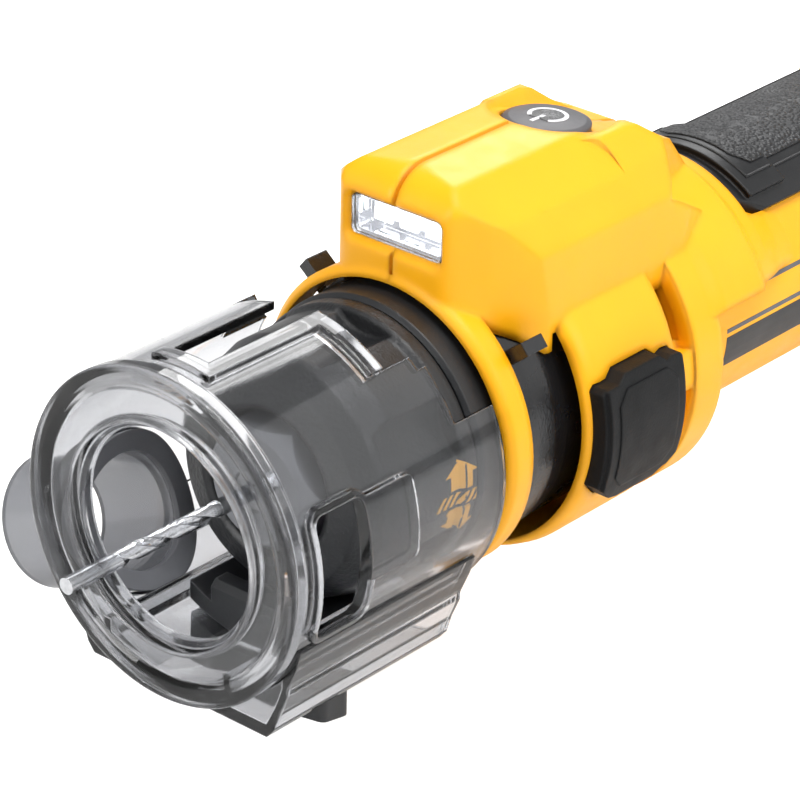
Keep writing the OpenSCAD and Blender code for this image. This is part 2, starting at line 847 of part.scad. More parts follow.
// Side view of the head, with the front and top corner rounded
module head_side(inset = 0) {
  top = head_top - inset;
  polygon(concat(
    [[head_front + inset, 20]],
    arc(head_front + inset + head_round, top - head_round, head_round, 180, 90),
    [
      [deck_front, top], [134, top - 1], [142.5, top - 3.4], [148, top - 7.4], [153.5, top - 10.6],
      [158, top - 12.4], [162.5 - inset, top - 17], [head_rear - inset, top - 27], [head_rear - inset, 20]
    ]
  ));
}

// Half of the front view of the head
module head_section(inset = 0) {
  polygon(fillet([
    [0, 20, 0], [head_half + 4.6 - inset, 20, 0], [head_half + 4.6 - inset, 29.5, 1.5],
    [head_half + 3.4 - inset, head_top - 18.2, 2.5], [head_half - 1.2 - inset, head_top - 10, 3.5],
    [crest_half - inset / 2, head_top - inset - 1.2, 3], [0, head_top - inset + 0.2, 0]
  ]));
}

// Half of the top view of the head
module head_plan(inset = 0) {
  polygon(fillet([
    [0, head_front, 0], [nose_half - inset, head_front, 6], [head_half - 2.6 - inset, head_front + 8.2, 6],
    [head_half + 4.8 - inset, drum_front - 1.5, 5], [head_half + 4.8 - inset, 143, 8],
    [18 - inset, 149.5, 6], [12 - inset, head_rear, 5], [0, head_rear, 0]
  ]));
}

// The head as the meeting of its three views, with the front corners of its top rounded off
module head_block(inset = 0) {
  top = head_top - 0.7 - inset;
  difference() {
    intersection() {
      extrude_x(-60, 60) head_side(inset);
      extrude_y(head_front, head_rear) both_sides() head_section(inset);
      linear_extrude(big) both_sides() head_plan(inset);
    }
    both_sides() translate([nose_half - inset, head_front, 0]) rotate([0, 0, -nose_angle])
      extrude_y(-20, 12) polygon(concat(
        arc(-nose_round, top - nose_round, nose_round, 0, 90), [[-nose_round, top + 8], [9, top + 8], [9, top - nose_round]]
      ));
  }
}

// Slopes that lead from the sides of the head down to the shoulders
module head_slopes() {
  intersection() {
    extrude_x(-60, 60)
      polygon(fillet([[130, 20, 0], [130, 42.5, 0], [144, 42.5, 9], [166, 30, 8], [170, 20, 0]]));
    extrude_y(130, 170) both_sides() head_section();
    linear_extrude(big) both_sides()
      polygon(fillet([[0, 130, 0], [head_half + 4.4, 130, 0], [head_half + 4.4, 148, 10], [23, 166, 8], [0, 170, 0]]));
  }
}

// Ridges that stand on each side of the power button
module button_ridges() {
  intersection() {
    extrude_x(-60, 60) head_side();
    extrude_y(deck_front, head_rear) both_sides() polygon(fillet([
      [5, 40, 0], [head_half - 1.2, 40, 0], [head_half - 1.2, head_top - 10, 1], [ridge_half, head_top - 2.7, 3],
      [5, head_top - 2, 0]
    ]));
    linear_extrude(big) both_sides() polygon(fillet([
      [0, deck_front + 2, 0], [crest_half - 1, deck_front + 2, 0], [ridge_half, button_y - 1, 6],
      [head_half, button_y, 0], [head_half, 145.6, 5], [18, 149.5, 5], [12, head_rear, 5], [0, head_rear, 0]
    ]));
  }
}

// Profile of the shoulders behind the drum, up to the front edge of the handle's cover
function shoulder_line() = [
  [0, drum_rear - 5], [drum_r - 0.4, drum_rear - 5], [drum_r + 1.2, drum_rear + 1], [drum_r + 0.6, 168],
  [handle_r + grip_thick + 2.6, 174], [handle_r + grip_thick + 1, collar_wall_rear]
];

// Outer form of the housing before it is hollowed
module housing_outer() {
  // Front hoop
  turn_y([
    [hoop_inner(), hoop_front], [hoop_r - 1.6, hoop_front], [hoop_r, hoop_front + 1.6],
    [hoop_r, hoop_rear], [hoop_inner(), hoop_rear]
  ]);
  head_block();
  head_slopes();
  button_ridges();
  // Drum with its vent groove and rear flange
  turn_y([
    [0, drum_front], [can_r + 0.4, drum_front], [drum_r - 2.6, drum_front + 0.9],
    [drum_r - 0.7, drum_front + 3.2], [drum_r, drum_front + 6], [drum_r, groove_front],
    [groove_r, groove_front + 0.6], [groove_r, groove_rear - 0.6], [drum_r, groove_rear],
    [drum_r, drum_rear - 1], [drum_r - 1, drum_rear], [handle_r + 3, drum_rear + 1.4],
    [handle_r, drum_rear + 6], [0, drum_rear + 6]
  ]);
  // Bars across the vent groove
  intersection() {
    tube_y(groove_front - 1, groove_rear + 1, drum_r - 0.8, groove_in);
    extrude_y(0, big) both_sides() sector(-1, 13);
  }
  // Shoulders that run down to the handle, higher under the handle's cover
  intersection() {
    turn_y(concat(shoulder_line(), [
      [handle_r + 1.4, neck_rear], [handle_r, neck_rear + 6], [0, neck_rear + 6]
    ]));
    extrude_y(0, big) both_sides() sector(20, 46);
  }
  intersection() {
    turn_y(concat(shoulder_line(), [[0, collar_wall_rear]]));
    extrude_y(0, big) sector(45.9, 134.1);
  }
  // Handle
  rod_y(drum_rear, handle_rear, handle_r);
  battery_foot();
}

// Foot that flares out of the handle and carries the battery rails
module battery_foot() {
  intersection() {
    turn_y([
      [0, flare_front], [handle_r, flare_front], [foot_corner, handle_rear], [foot_corner, foot_rear],
      [0, foot_rear]
    ]);
    foot_box(foot_half, foot_top, foot_drop, flare_front, foot_rear);
  }
  both_sides() {
    block([tongue_half + seat_gap, foot_rear - 1, 4 - foot_drop], [rail_out, rail_rear, foot_top]);
    block([tongue_neck + seat_gap, rail_lip_front, 4 - foot_drop], [rail_out, rail_rear, foot_top]);
  }
  block([-rail_out, foot_rear - 1, stop_z], [rail_out, rail_rear, foot_top]);
}

// A box with round edges along the handle's direction
module foot_box(half, top, drop, y0, y1) {
  extrude_y(y0, y1) translate([0, (top - drop) / 2]) round_box(2 * half, top + drop, 7);
}

// What is taken out of the housing
module housing_hollow() {
  // Bore of the hoop and the room round the can
  rod_y(0, drum_front - 0.1, can_r + 0.4);
  rod_y(drum_front - 0.2, groove_front - wall, drum_in);
  rod_y(drum_front, groove_rear + wall, groove_in);
  rod_y(groove_rear + wall, drum_rear - wall, drum_in);
  rod_y(drum_rear - wall - 0.1, handle_rear, handle_in);
  head_room();
  // Foot
  intersection() {
    turn_y([
      [0, flare_front + 1], [handle_in, flare_front + 1], [foot_corner - wall, handle_rear + 1],
      [foot_corner, foot_rear - foot_wall], [0, foot_rear - foot_wall]
    ]);
    foot_box(foot_half - foot_wall, foot_top - foot_wall, foot_drop - foot_wall, flare_front,
             foot_rear - foot_wall);
  }
  // Opening for the contacts
  block([-16, foot_rear - foot_wall - 1, blade_low - 4], [16, foot_rear + 1, blade_top + 4]);
  lamp_opening();
  button_opening();
  vent_openings();
  pad_seats();
  seam_groove();
}

// Room in the head above the motor
module head_room() {
  difference() {
    head_block(wall);
    // The deck's own wall round the button
    deck_cut(wall);
  }
}

// The bowl round the power button and all above the sloping deck behind it, lowered by drop
module deck_cut(drop) {
  translate([0, button_y, deck_z(button_y) - drop]) rotate([-deck_tilt, 0, 0])
    cylinder(h = 8, r1 = bowl_r + drop, r2 = bowl_r + drop + 4.8, $fn = fine);
  intersection() {
    translate([0, button_y, deck_z(button_y) - drop]) rotate([-deck_tilt, 0, 0])
      extrude_y(0, 60) both_sides() polygon([
        [0, 0], [deck_half + drop, 0], [deck_half + drop + 3, 5], [deck_half + drop + 3, 30], [0, 30]
      ]);
    block([-30, 0, 40], [30, head_rear + 5, big]);
  }
}

module lamp_opening() {
  extrude_y(0, lens_front + lens_len + 3) translate([0, lamp_z]) round_box(2 * lamp_half, lamp_h, 1.6);
  // Sloping border of the window
  hull() {
    extrude_y(head_front - 1, head_front) translate([0, lamp_z]) round_box(2 * lamp_half + 3, lamp_h + 3, 3);
    extrude_y(head_front, head_front + 1.5) translate([0, lamp_z]) round_box(2 * lamp_half, lamp_h, 1.6);
  }
}

// Places its children at the top of the power button, with Z out of the button
module at_button() {
  translate([0, button_y, button_top]) rotate([-button_tilt, 0, 0]) children();
}

module button_opening() {
  deck_cut(0);
  at_button() translate([0, 0, -12]) cylinder(h = 24, r = button_r + seat_gap, $fn = fine);
}

// Vent slots through the floor of the groove
module vent_openings() {
  intersection() {
    tube_y(groove_front + 0.2, groove_rear - 0.2, groove_r + 1, groove_in - 1);
    extrude_y(0, big) both_sides() sector(16, 44);
  }
}

// Outline of a side pad, in Y and height
module pad_outline(grow = 0) {
  low = -drum_r * sin(pad_low) - grow;
  high = drum_r * sin(pad_high) + grow;
  front = pad_front - grow;
  rear = pad_rear + grow;
  polygon([
    [front, low + 5], [front + 4.6, low + 0.8], [front + 8, low], [rear - 8, low], [rear - 5, low + 1.6],
    [rear - 3.4, low + 1.8], [rear, low + 5], [rear, high - 3.6], [rear - 1.6, high - 1.6],
    [rear - 4.4, high - 1.4], [rear - 6.4, high - 2], [rear - 9, high], [front + 8, high],
    [front + 5.4, high - 1.8], [front + 1.4, high - 2], [front, high - 3.2]
  ]);
}

module pad_seats() {
  both_sides() intersection() {
    tube_y(pad_front - 1, pad_rear + 1, drum_r + 1, drum_r - pad_inset);
    extrude_x(0, big) pad_outline(seat_gap);
  }
}

module side_pad_left() color(BLACK) side_pad();
module side_pad_right() color(BLACK) mirror([1, 0, 0]) side_pad();

// Rubber pad on the side of the drum
module side_pad() {
  intersection() {
    union() {
      tube_y(pad_front, pad_rear, drum_r + pad_proud - 1, drum_r - pad_inset + 0.02);
      tube_y(pad_front + 1, pad_rear - 1, drum_r + pad_proud, drum_r);
    }
    extrude_x(0, big) pad_outline();
  }
}

// Groove along the seam between the two halves, over the head
module seam_groove() {
  extrude_x(-seam_half, seam_half) difference() {
    head_side();
    head_side(seam_depth);
    translate([0, -1]) square([300, 34]);
  }
}

// Pillars for the housing screws
module screw_pillars() {
  for (s = SCREWS) {
    translate([1 - s[2], s[0], s[1]]) rotate([0, 90, 0]) cylinder(h = 2 * s[2] - 2, r = boss_r, $fn = 32);
  }
}

// Room for the housing screws, entered from the right side
module screw_room() {
  for (s = SCREWS) {
    translate([-s[2] - 1, s[0], s[1]]) rotate([0, 90, 0]) {
      cylinder(h = s[2] + screw_reach + 1.5, r = screw_r + run_fit, $fn = 32);
      cylinder(h = screw_sink + 1, r = screw_head_r + 0.2, $fn = 32);
      translate([0, 0, -9]) cylinder(h = 10, r = screw_head_r + 0.2, $fn = 32);
    }
  }
}

// One half of the yellow housing: side is 1 for the left and -1 for the right
module housing_half(side) {
  intersection() {
    difference() {
      union() {
        difference() {
          housing_outer();
          housing_hollow();
        }
        screw_pillars();
      }
      screw_room();
    }
    translate([side > 0 ? 0 : -big, 0, -big]) cube([big, 2 * big, 2 * big]);
  }
}

module housing_left() color(YELLOW) housing_half(1);
module housing_right() color(YELLOW) housing_half(-1);

module housing_screws() color(STEEL) {
  for (s = SCREWS) {
    translate([screw_sink - s[2], s[0], s[1]]) rotate([0, 90, 0]) {
      cylinder(h = s[2] - screw_sink + screw_reach, r = screw_r, $fn = 32);
      difference() {
        translate([0, 0, -1.9]) cylinder(h = 1.9, r = screw_head_r, $fn = 32);
        translate([0, 0, -2]) cylinder(h = 1.2, r = 1.5, $fn = 6);
      }
    }
  }
}

// Soft cover on top of the handle
module grip_cover() color(BLACK) {
  edge = handle_r + grip_thick - 1.6;
  front = collar_wall_rear + seat_gap;
  intersection() {
    tube_y(front, grip_rear, edge, handle_r + 0.02);
    difference() {
      extrude_y(front, grip_rear) sector(46, 134);
      both_sides() linear_extrude(big) polygon([
        [17, front - 1], [60, front - 1], [60, neck_rear + 6], [24, neck_rear + 4.5]
      ]);
    }
  }
  intersection() {
    tube_y(front + 6, grip_rear - 6, handle_r + grip_thick, edge - 1);
    extrude_y(0, big) sector(53, 127);
  }
}

module lamp_lens() color([0.9, 0.95, 1, 0.5]) {
  extrude_y(lens_front, lens_front + lens_len) translate([0, lamp_z])
    round_box(2 * lamp_half - 0.6, lamp_h - 0.6, 1.4);
}

// Bright tray behind the lens
module lamp_reflector() color([0.9, 0.9, 0.92]) difference() {
  extrude_y(reflector_front, reflector_front + reflector_len) translate([0, lamp_z])
    round_box(2 * lamp_half - 0.6, lamp_h - 0.6, 1.4);
  extrude_y(reflector_front - 1, reflector_front + reflector_len - 1.2) translate([0, lamp_z])
    round_box(2 * lamp_half - 2.6, lamp_h - 2.6, 1.2);
  for (x = [-8, 0, 8]) {
    block([x - 2.2, 0, lamp_z - 2.2], [x + 2.2, big, lamp_z + 2.2]);
  }
}

// Lamp circuit board with its three light chips
module lamp_board() color([0.1, 0.35, 0.15]) {
  block([-lamp_half - 4, board_front, 41], [lamp_half + 4, board_front + board_thick, lamp_z + 5]);
  for (x = [-8, 0, 8]) {
    block([x - 1.8, board_front - 1.2, lamp_z - 1.8], [x + 1.8, board_front + 0.1, lamp_z + 1.8]);
  }
}

module power_button() color(GREY) at_button() {
  // Level crown, so that the button stands proud at the rear of the sloping deck
  intersection() {
    cylinder(h = 20, r = button_r, center = true, $fn = fine);
    translate([0, -button_r + 0.5, -0.6]) rotate([crown_tilt, 0, 0]) translate([0, button_r, 0])
      rotate_extrude($fn = fine) polygon([
        [0, -button_deep - 4], [button_r + 0.2, -button_deep - 4], [button_r + 0.2, -0.9], [button_r - 0.4, -0.2],
        [button_r - 1.6, 0.3], [button_r - 5, 0.7], [0, 0.9]
      ]);
    block([-20, -20, -button_deep], [20, 20, 20]);
  }
  translate([0, 0, -button_deep - 2.4]) cylinder(h = 3, r = stem_r, $fn = 32);
}

// Circuit board with the push switch under the button
module switch_board() color([0.1, 0.35, 0.15]) at_button() {
  half = head_half - wall - 0.4;
  block([-half, -14, -switch_drop - board_thick], [half, 12, -switch_drop]);
  block([-4, -4, -switch_drop - 0.1], [4, 4, -button_deep - 2.4 - button_travel - 0.2]);
}

// Sealed motor electronics across the handle
module controller() color([0.15, 0.16, 0.2]) {
  half = round_half(handle_in - seat_gap, controller_drop);
  block([-half, controller_front, -controller_drop], [half, controller_front + controller_len, 1]);
  for (i = [0 : 2]) {
    translate([0, controller_front + 12 + 16 * i, 0.9]) cylinder(h = 12, r = 6, $fn = 48);
  }
}

module terminal_block() color(BLACK) difference() {
  block([-20, foot_rear - foot_wall - 9, blade_low - 8], [20, foot_rear - foot_wall - 0.02, blade_top + 8]);
  for (x = BLADES) {
    block([x - blade_thick / 2 - run_fit, foot_rear - foot_wall - 7, blade_low - run_fit],
          [x + blade_thick / 2 + run_fit, big * 2, blade_top + run_fit]);
  }
}

module terminal_blades() color(STEEL) {
  for (x = BLADES) {
    block([x - blade_thick / 2, foot_rear - foot_wall - 6.9, blade_low],
          [x + blade_thick / 2, foot_rear + blade_reach, blade_top]);
  }
}

// Outline of the pack seen from behind
module pack_outline(inset = 0) {
  translate([0, (pack_top - pack_drop) / 2])
    round_box(2 * pack_half - 2 * inset, pack_top + pack_drop - 2 * inset, pack_round - inset);
}

module pack_case() color(BLACK) difference() {
  union() {
    extrude_y(case_front, pack_rear - 2) pack_outline();
    extrude_y(case_front + 1, pack_rear) pack_outline(2);
  }
  extrude_y(case_front - 1, pack_rear - pack_wall) pack_outline(pack_wall);
  // Grooves along the sides
  both_sides() for (y = [case_front + 12, case_front + 18, case_front + 24]) {
    block([pack_half - 0.9, y, -45], [pack_half + 1, y + 2, 25]);
  }
  release_room();
  // Holes of the charge gauge
  translate([0, pack_rear + 1, 22]) rotate([90, 0, 0]) cylinder(h = pack_wall + 2, r = 4 + seat_gap, $fn = 32);
  for (x = [-10, 0, 10]) {
    translate([x, pack_rear + 1, 34]) rotate([90, 0, 0]) cylinder(h = pack_wall + 2, r = 1.5 + run_fit, $fn = 32);
  }
  pack_screw_places() rotate([90, 0, 0]) cylinder(h = big, r = screw_r + run_fit, $fn = 32);
}

// Front of the pack with the tongue that slides in the tool's rails
module pack_cover() color(BLACK) difference() {
  union() {
    extrude_y(pack_front, case_front) pack_outline();
    block([-tongue_neck, foot_rear + seat_gap, tongue_low], [tongue_neck, pack_front + 1, tongue_top]);
    block([-tongue_half, foot_rear + seat_gap, tongue_low],
          [tongue_half, foot_rear + seat_gap + tongue_thick, tongue_top]);
    // Posts that the pack screws pull on
    pack_screw_places() rotate([90, 0, 0]) cylinder(h = 1, r = 3, $fn = 32);
  }
  for (x = BLADES) {
    block([x - 1.2, foot_rear, blade_low - 4], [x + 1.2, foot_rear + blade_reach + 1, big]);
  }
  pack_screw_places() rotate([90, 0, 0]) cylinder(h = big, r = screw_r + run_fit, $fn = 32);
}

// Places of the four screws that close the pack
module pack_screw_places() {
  for (sx = [-1, 1], z = [7 - pack_drop, pack_top - 7]) {
    translate([sx * (pack_half - 7), case_front, z]) children();
  }
}

module pack_screws() color(STEEL) {
  pack_screw_places() rotate([90, 0, 0]) translate([0, 0, -6]) cylinder(h = 8, r = screw_r, $fn = 32);
}

// Ten cells in two layers
module cell_places() {
  for (layer = [-1, 1], row = [0 : cell_rows - 1]) {
    translate([0, cell_mid_y + layer * cell_pitch / 2, cell_mid_z + (row - (cell_rows - 1) / 2) * cell_pitch])
      rotate([0, 90, 0]) children();
  }
}

module pack_cells() color([0.2, 0.45, 0.7]) {
  cell_places() translate([0, 0, -cell_len / 2]) cylinder(h = cell_len, r = cell_r, $fn = 48);
}

// Two plates that space the cells
module cell_holder() color(GREY) both_sides() difference() {
  block([cell_len / 2 - holder_thick - 4, case_front + 0.1, cell_mid_z - 2.5 * cell_pitch - 1],
        [cell_len / 2 - 4, pack_rear - pack_wall - seat_gap, cell_mid_z + 2.5 * cell_pitch + 1]);
  cell_places() cylinder(h = big, r = cell_r + run_fit, $fn = 48);
}

// Room for the release button in the pack's bottom
module release_room() {
  block([-13 - seat_gap, case_front + 3 - seat_gap, -pack_drop - 1],
        [13 + seat_gap, case_front + 13 + seat_gap, 0.1 - pack_drop + pack_wall]);
}

module pack_release() color(YELLOW) {
  block([-13, case_front + 3, 0.5 - pack_drop], [13, case_front + 13, pack_wall - pack_drop + 0.6]);
  block([-15, case_front + 1.5, pack_wall - pack_drop + 0.2], [15, case_front + 14.5, pack_wall - pack_drop + 1.6]);
}

module gauge_button() color(GREY) translate([0, pack_rear + 0.6, 22]) rotate([90, 0, 0]) {
  cylinder(h = pack_wall + 0.6, r = 4, $fn = 32);
  translate([0, 0, pack_wall + 0.8]) cylinder(h = 1, r = 5.4, $fn = 32);
  translate([0, 0, pack_wall]) cylinder(h = 1, r = 3, $fn = 32);
}

module gauge_lights() color([0.9, 0.3, 0.2]) {
  for (x = [-10, 0, 10]) {
    translate([x, pack_rear + 0.1, 34]) rotate([90, 0, 0]) cylinder(h = pack_wall + 1, r = 1.5, $fn = 32);
  }
}

housing_left();
housing_right();
housing_screws();
side_pad_left();
side_pad_right();
grip_cover();
lamp_lens();
lamp_reflector();
lamp_board();
power_button();
switch_board();
nose_cap();
nose_screws();
motor_can();
stator_core();
stator_coils();
front_bearing();
rear_bearing();
bearing_carrier();
controller();
terminal_block();
terminal_blades();
spindle_shaft();
rotor_core();
rotor_magnets();
cooling_fan();
collet();
collet_nut();
cutting_bit();
bit_collar();
lock_sleeve();
shroud_arm();
arm_screws();
clamp_knob();
dust_shroud();
dust_port();
port_gasket();
pack_case();
pack_cover();
pack_cells();
cell_holder();
pack_screws();
pack_release();
gauge_button();
gauge_lights();
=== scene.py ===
"""Dresses the cordless cut-out tool: finishes, fine shapes, camera, lamps and floor."""

from __future__ import annotations

import json
import logging
import math
from collections.abc import Callable, Iterable
from dataclasses import dataclass, field
from enum import Enum

import bmesh
import bpy
from mathutils import Euler, Matrix, Vector
from mathutils.bvhtree import BVHTree

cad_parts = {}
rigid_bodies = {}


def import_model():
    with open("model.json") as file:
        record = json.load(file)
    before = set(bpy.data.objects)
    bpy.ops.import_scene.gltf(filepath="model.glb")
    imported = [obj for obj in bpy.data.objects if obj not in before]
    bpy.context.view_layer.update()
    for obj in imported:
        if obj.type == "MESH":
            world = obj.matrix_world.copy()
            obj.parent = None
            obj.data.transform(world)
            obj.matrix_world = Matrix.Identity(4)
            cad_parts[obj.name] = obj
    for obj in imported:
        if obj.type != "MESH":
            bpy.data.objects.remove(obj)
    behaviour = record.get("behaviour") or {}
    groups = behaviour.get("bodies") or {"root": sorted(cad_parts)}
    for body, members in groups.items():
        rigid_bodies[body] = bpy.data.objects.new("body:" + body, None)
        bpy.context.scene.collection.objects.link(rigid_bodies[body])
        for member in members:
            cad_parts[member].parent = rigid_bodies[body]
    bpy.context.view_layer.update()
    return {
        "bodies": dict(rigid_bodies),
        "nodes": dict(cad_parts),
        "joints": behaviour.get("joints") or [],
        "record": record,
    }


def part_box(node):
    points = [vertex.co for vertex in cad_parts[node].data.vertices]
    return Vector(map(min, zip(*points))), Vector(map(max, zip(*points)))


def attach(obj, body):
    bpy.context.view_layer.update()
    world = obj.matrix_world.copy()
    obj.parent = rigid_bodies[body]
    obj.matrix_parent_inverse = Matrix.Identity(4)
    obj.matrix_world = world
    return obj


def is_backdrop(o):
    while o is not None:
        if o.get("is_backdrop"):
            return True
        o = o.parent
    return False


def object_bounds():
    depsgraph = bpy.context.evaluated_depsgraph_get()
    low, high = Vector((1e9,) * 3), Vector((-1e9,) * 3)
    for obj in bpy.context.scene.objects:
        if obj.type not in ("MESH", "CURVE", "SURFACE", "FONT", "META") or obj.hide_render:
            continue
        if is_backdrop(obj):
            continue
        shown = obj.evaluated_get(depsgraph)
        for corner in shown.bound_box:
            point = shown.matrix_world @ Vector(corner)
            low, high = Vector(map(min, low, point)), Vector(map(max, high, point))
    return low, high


log = logging.getLogger("cut_out_tool")

Triple = tuple[float, float, float]
Rgb = Triple
Point = tuple[float, float]
Outline = list[Point]
Ray = tuple[Vector, Vector]
MM = 0.001
DRIFT_SCALE = 26
WEAR_SCALE = 140
GLOSS_BELOW = 0.05
MOULDING_GLOSS_ABOVE = 0.07
METAL_GLOSS_ABOVE = 0.08
LINE_SCALE = 900
RUB_SCALE = 400
SMEAR_SCALE = 120
RIPPLE_SCALE = 60
RIPPLE_DEPTH = 0.00003
# Painted shade: how quickly clear walls darken as they turn edge on.
EDGE_SHADE_BLEND = 0.42
SMOKE_TINT = (0.1, 0.1, 0.11, 1)
WHITE = (1, 1, 1, 1)
BEVEL_SAMPLES = 6
DRIFT_RANGE = (0.35, 0.65)
NOISE_RANGE = (0.3, 0.7)
PEBBLE_RANGE = (0.0, 0.7)
SMEAR_RANGE = (0.35, 0.7)
# Range over which the painted edge shade on clear walls sets in.
EDGE_SHADE_RANGE = (0.15, 0.95)


def linear(code: str) -> Rgb:
    """Turns a screen colour into scene values.

    Args:
        code: The colour as six hexadecimal digits.

    Returns:
        Linear red, green and blue.
    """
    parts = [int(code[i : i + 2], 16) / 255 for i in (0, 2, 4)]
    return tuple(p / 12.92 if p <= 0.04045 else ((p + 0.055) / 1.055) ** 2.4 for p in parts)


class Grain(Enum):
    """Kinds of moulded surface texture."""

    SPARK = "spark"
    PEBBLE = "pebble"


@dataclass
class Sheet:
    """A material's node tree, with short ways to add to it."""

    name: str
    material: bpy.types.Material = field(init=False)

    def __post_init__(self) -> None:
        """Makes the empty material with its output and object coordinates."""
        self.material = bpy.data.materials.new(self.name)
        self.material.use_nodes = True
        self.tree = self.material.node_tree
        self.tree.nodes.clear()
        self.output = self.tree.nodes.new("ShaderNodeOutputMaterial")
        self.coords = self.tree.nodes.new("ShaderNodeTexCoord")

    def add(self, kind: str, **inputs: object) -> bpy.types.Node:
        """Adds a node and fills its sockets.

        Args:
            kind: Blender's name of the node type.
            **inputs: A value or an output socket for each input, with _ for a space.

        Returns:
            The new node.
        """
        node = self.tree.nodes.new(kind)
        for key, value in inputs.items():
            socket = node.inputs[key.replace("_", " ")]
            if isinstance(value, bpy.types.NodeSocket):
                self.tree.links.new(value, socket)
            else:
                socket.default_value = value
        return node

    def link(self, source: bpy.types.NodeSocket, target: bpy.types.NodeSocket) -> None:
        """Links one socket to another."""
        self.tree.links.new(source, target)

    def stretched(self, scale: Triple) -> bpy.types.NodeSocket:
        """Object coordinates scaled by a factor for each axis."""
        node = self.add("ShaderNodeMapping", Vector=self.coords.outputs["Object"], Scale=scale)
        return node.outputs["Vector"]

    def noise(
        self, scale: float, detail: float, across: Triple = (1.0, 1.0, 1.0)
    ) -> bpy.types.NodeSocket:
        """Noise on object coordinates.

        Args:
            scale: Features per metre.
            detail: Number of octaves.
            across: Stretch of the pattern along each axis.

        Returns:
            The noise from 0 to 1.
        """
        node = self.add("ShaderNodeTexNoise", Vector=self.stretched(across), Scale=scale, Detail=detail)
        return node.outputs["Fac"]

    def cells(self, scale: float) -> bpy.types.NodeSocket:
        """Distance to the nearest cell centre of an even cell pattern."""
        node = self.add("ShaderNodeTexVoronoi", Vector=self.coords.outputs["Object"], Scale=scale)
        return node.outputs["Distance"]

    def span(
        self, value: bpy.types.NodeSocket, low: float, high: float, start: float, end: float
    ) -> bpy.types.NodeSocket:
        """Maps a value from one range to another, and keeps it there.

        Args:
            value: The value to map.
            low: Result at the start of the range.
            high: Result at its end.
            start: Start of the value's range.
            end: End of the value's range.

        Returns:
            The mapped value.
        """
        node = self.add("ShaderNodeMapRange")
        self.link(value, node.inputs["Value"])
        for name, number in (("From Min", start), ("From Max", end), ("To Min", low), ("To Max", high)):
            node.inputs[name].default_value = number
        return node.outputs["Result"]

    def blend(self, share: bpy.types.NodeSocket, first: str, second: str) -> bpy.types.NodeSocket:
        """Mixes two colours.

        Args:
            share: The second colour's share, from 0 to 1.
            first: The first colour's code.
            second: The second colour's code.

        Returns:
            The mixed colour.
        """
        node = self.tree.nodes.new("ShaderNodeMix")
        node.data_type = "RGBA"
        self.link(share, node.inputs[0])
        node.inputs[6].default_value = (*linear(first), 1)
        node.inputs[7].default_value = (*linear(second), 1)
        return node.outputs[2]

    def rounded(self, radius: float) -> bpy.types.NodeSocket:
        """A surface direction that rounds hard edges over a radius in metres.

        Args:
            radius: The radius.

        Returns:
            The direction.
        """
        node = self.add("ShaderNodeBevel", Radius=radius)
        node.samples = BEVEL_SAMPLES
        return node.outputs["Normal"]

    def bump(
        self, height: bpy.types.NodeSocket, depth: float, normal: bpy.types.NodeSocket
    ) -> bpy.types.NodeSocket:
        """Bump from a height field.

        Args:
            height: The field, from 0 to 1.
            depth: Its real depth in metres.
            normal: The direction that it starts from.

        Returns:
            The bumped direction.
        """
        node = self.add("ShaderNodeBump", Height=height, Distance=depth, Strength=1.0, Normal=normal)
        return node.outputs["Normal"]

    def finish(self, shader: bpy.types.NodeSocket) -> bpy.types.Material:
        """Puts the shader on the surface and returns the material."""
        self.link(shader, self.output.inputs["Surface"])
        return self.material


@dataclass(frozen=True)
class Moulding:
    """A moulded plastic or rubber finish."""

    name: str
    colour: str
    shade: str
    roughness: float
    grain: Grain
    grain_scale: float
    grain_depth: float
    edge: float = 0.0006
    specular: float = 0.5

    def make(self) -> bpy.types.Material:
        """Builds the finish: colour drift, worn gloss and the mould's texture.

        Returns:
            The material.
        """
        s = Sheet(self.name)
        drift = s.noise(DRIFT_SCALE, 3)
        colour = s.blend(s.span(drift, 0, 1, *DRIFT_RANGE), self.colour, self.shade)
        dull = self.roughness + MOULDING_GLOSS_ABOVE
        gloss = s.span(s.noise(WEAR_SCALE, 4), self.roughness - GLOSS_BELOW, dull, *NOISE_RANGE)
        if self.grain is Grain.PEBBLE:
            height = s.span(s.cells(self.grain_scale), 1, 0, *PEBBLE_RANGE)
        else:
            height = s.noise(self.grain_scale, 3)
        normal = s.bump(height, self.grain_depth, s.rounded(self.edge))
        shader = s.add("ShaderNodeBsdfPrincipled", Base_Color=colour, Roughness=gloss, Normal=normal)
        shader.inputs["Specular IOR Level"].default_value = self.specular
        return s.finish(shader.outputs["BSDF"])


@dataclass(frozen=True)
class Metal:
    """A turned, ground or plated metal finish."""

    name: str
    colour: str
    shade: str
    roughness: float
    lines: Triple = (1.0, 1.0, 1.0)
    line_depth: float = 0.000004
    edge: float = 0.0003

    def make(self) -> bpy.types.Material:
        """Builds the finish with tool lines along the chosen direction.

        Returns:
            The material.
        """
        s = Sheet(self.name)
        line = s.noise(LINE_SCALE, 2, self.lines)
        colour = s.blend(s.span(line, 0, 1, *NOISE_RANGE), self.colour, self.shade)
        dull = self.roughness + METAL_GLOSS_ABOVE
        gloss = s.span(s.noise(RUB_SCALE, 3), self.roughness - GLOSS_BELOW, dull, *NOISE_RANGE)
        normal = s.bump(line, self.line_depth, s.rounded(self.edge))
        shader = s.add("ShaderNodeBsdfPrincipled", Base_Color=colour, Roughness=gloss, Normal=normal)
        shader.inputs["Metallic"].default_value = 1.0
        return s.finish(shader.outputs["BSDF"])


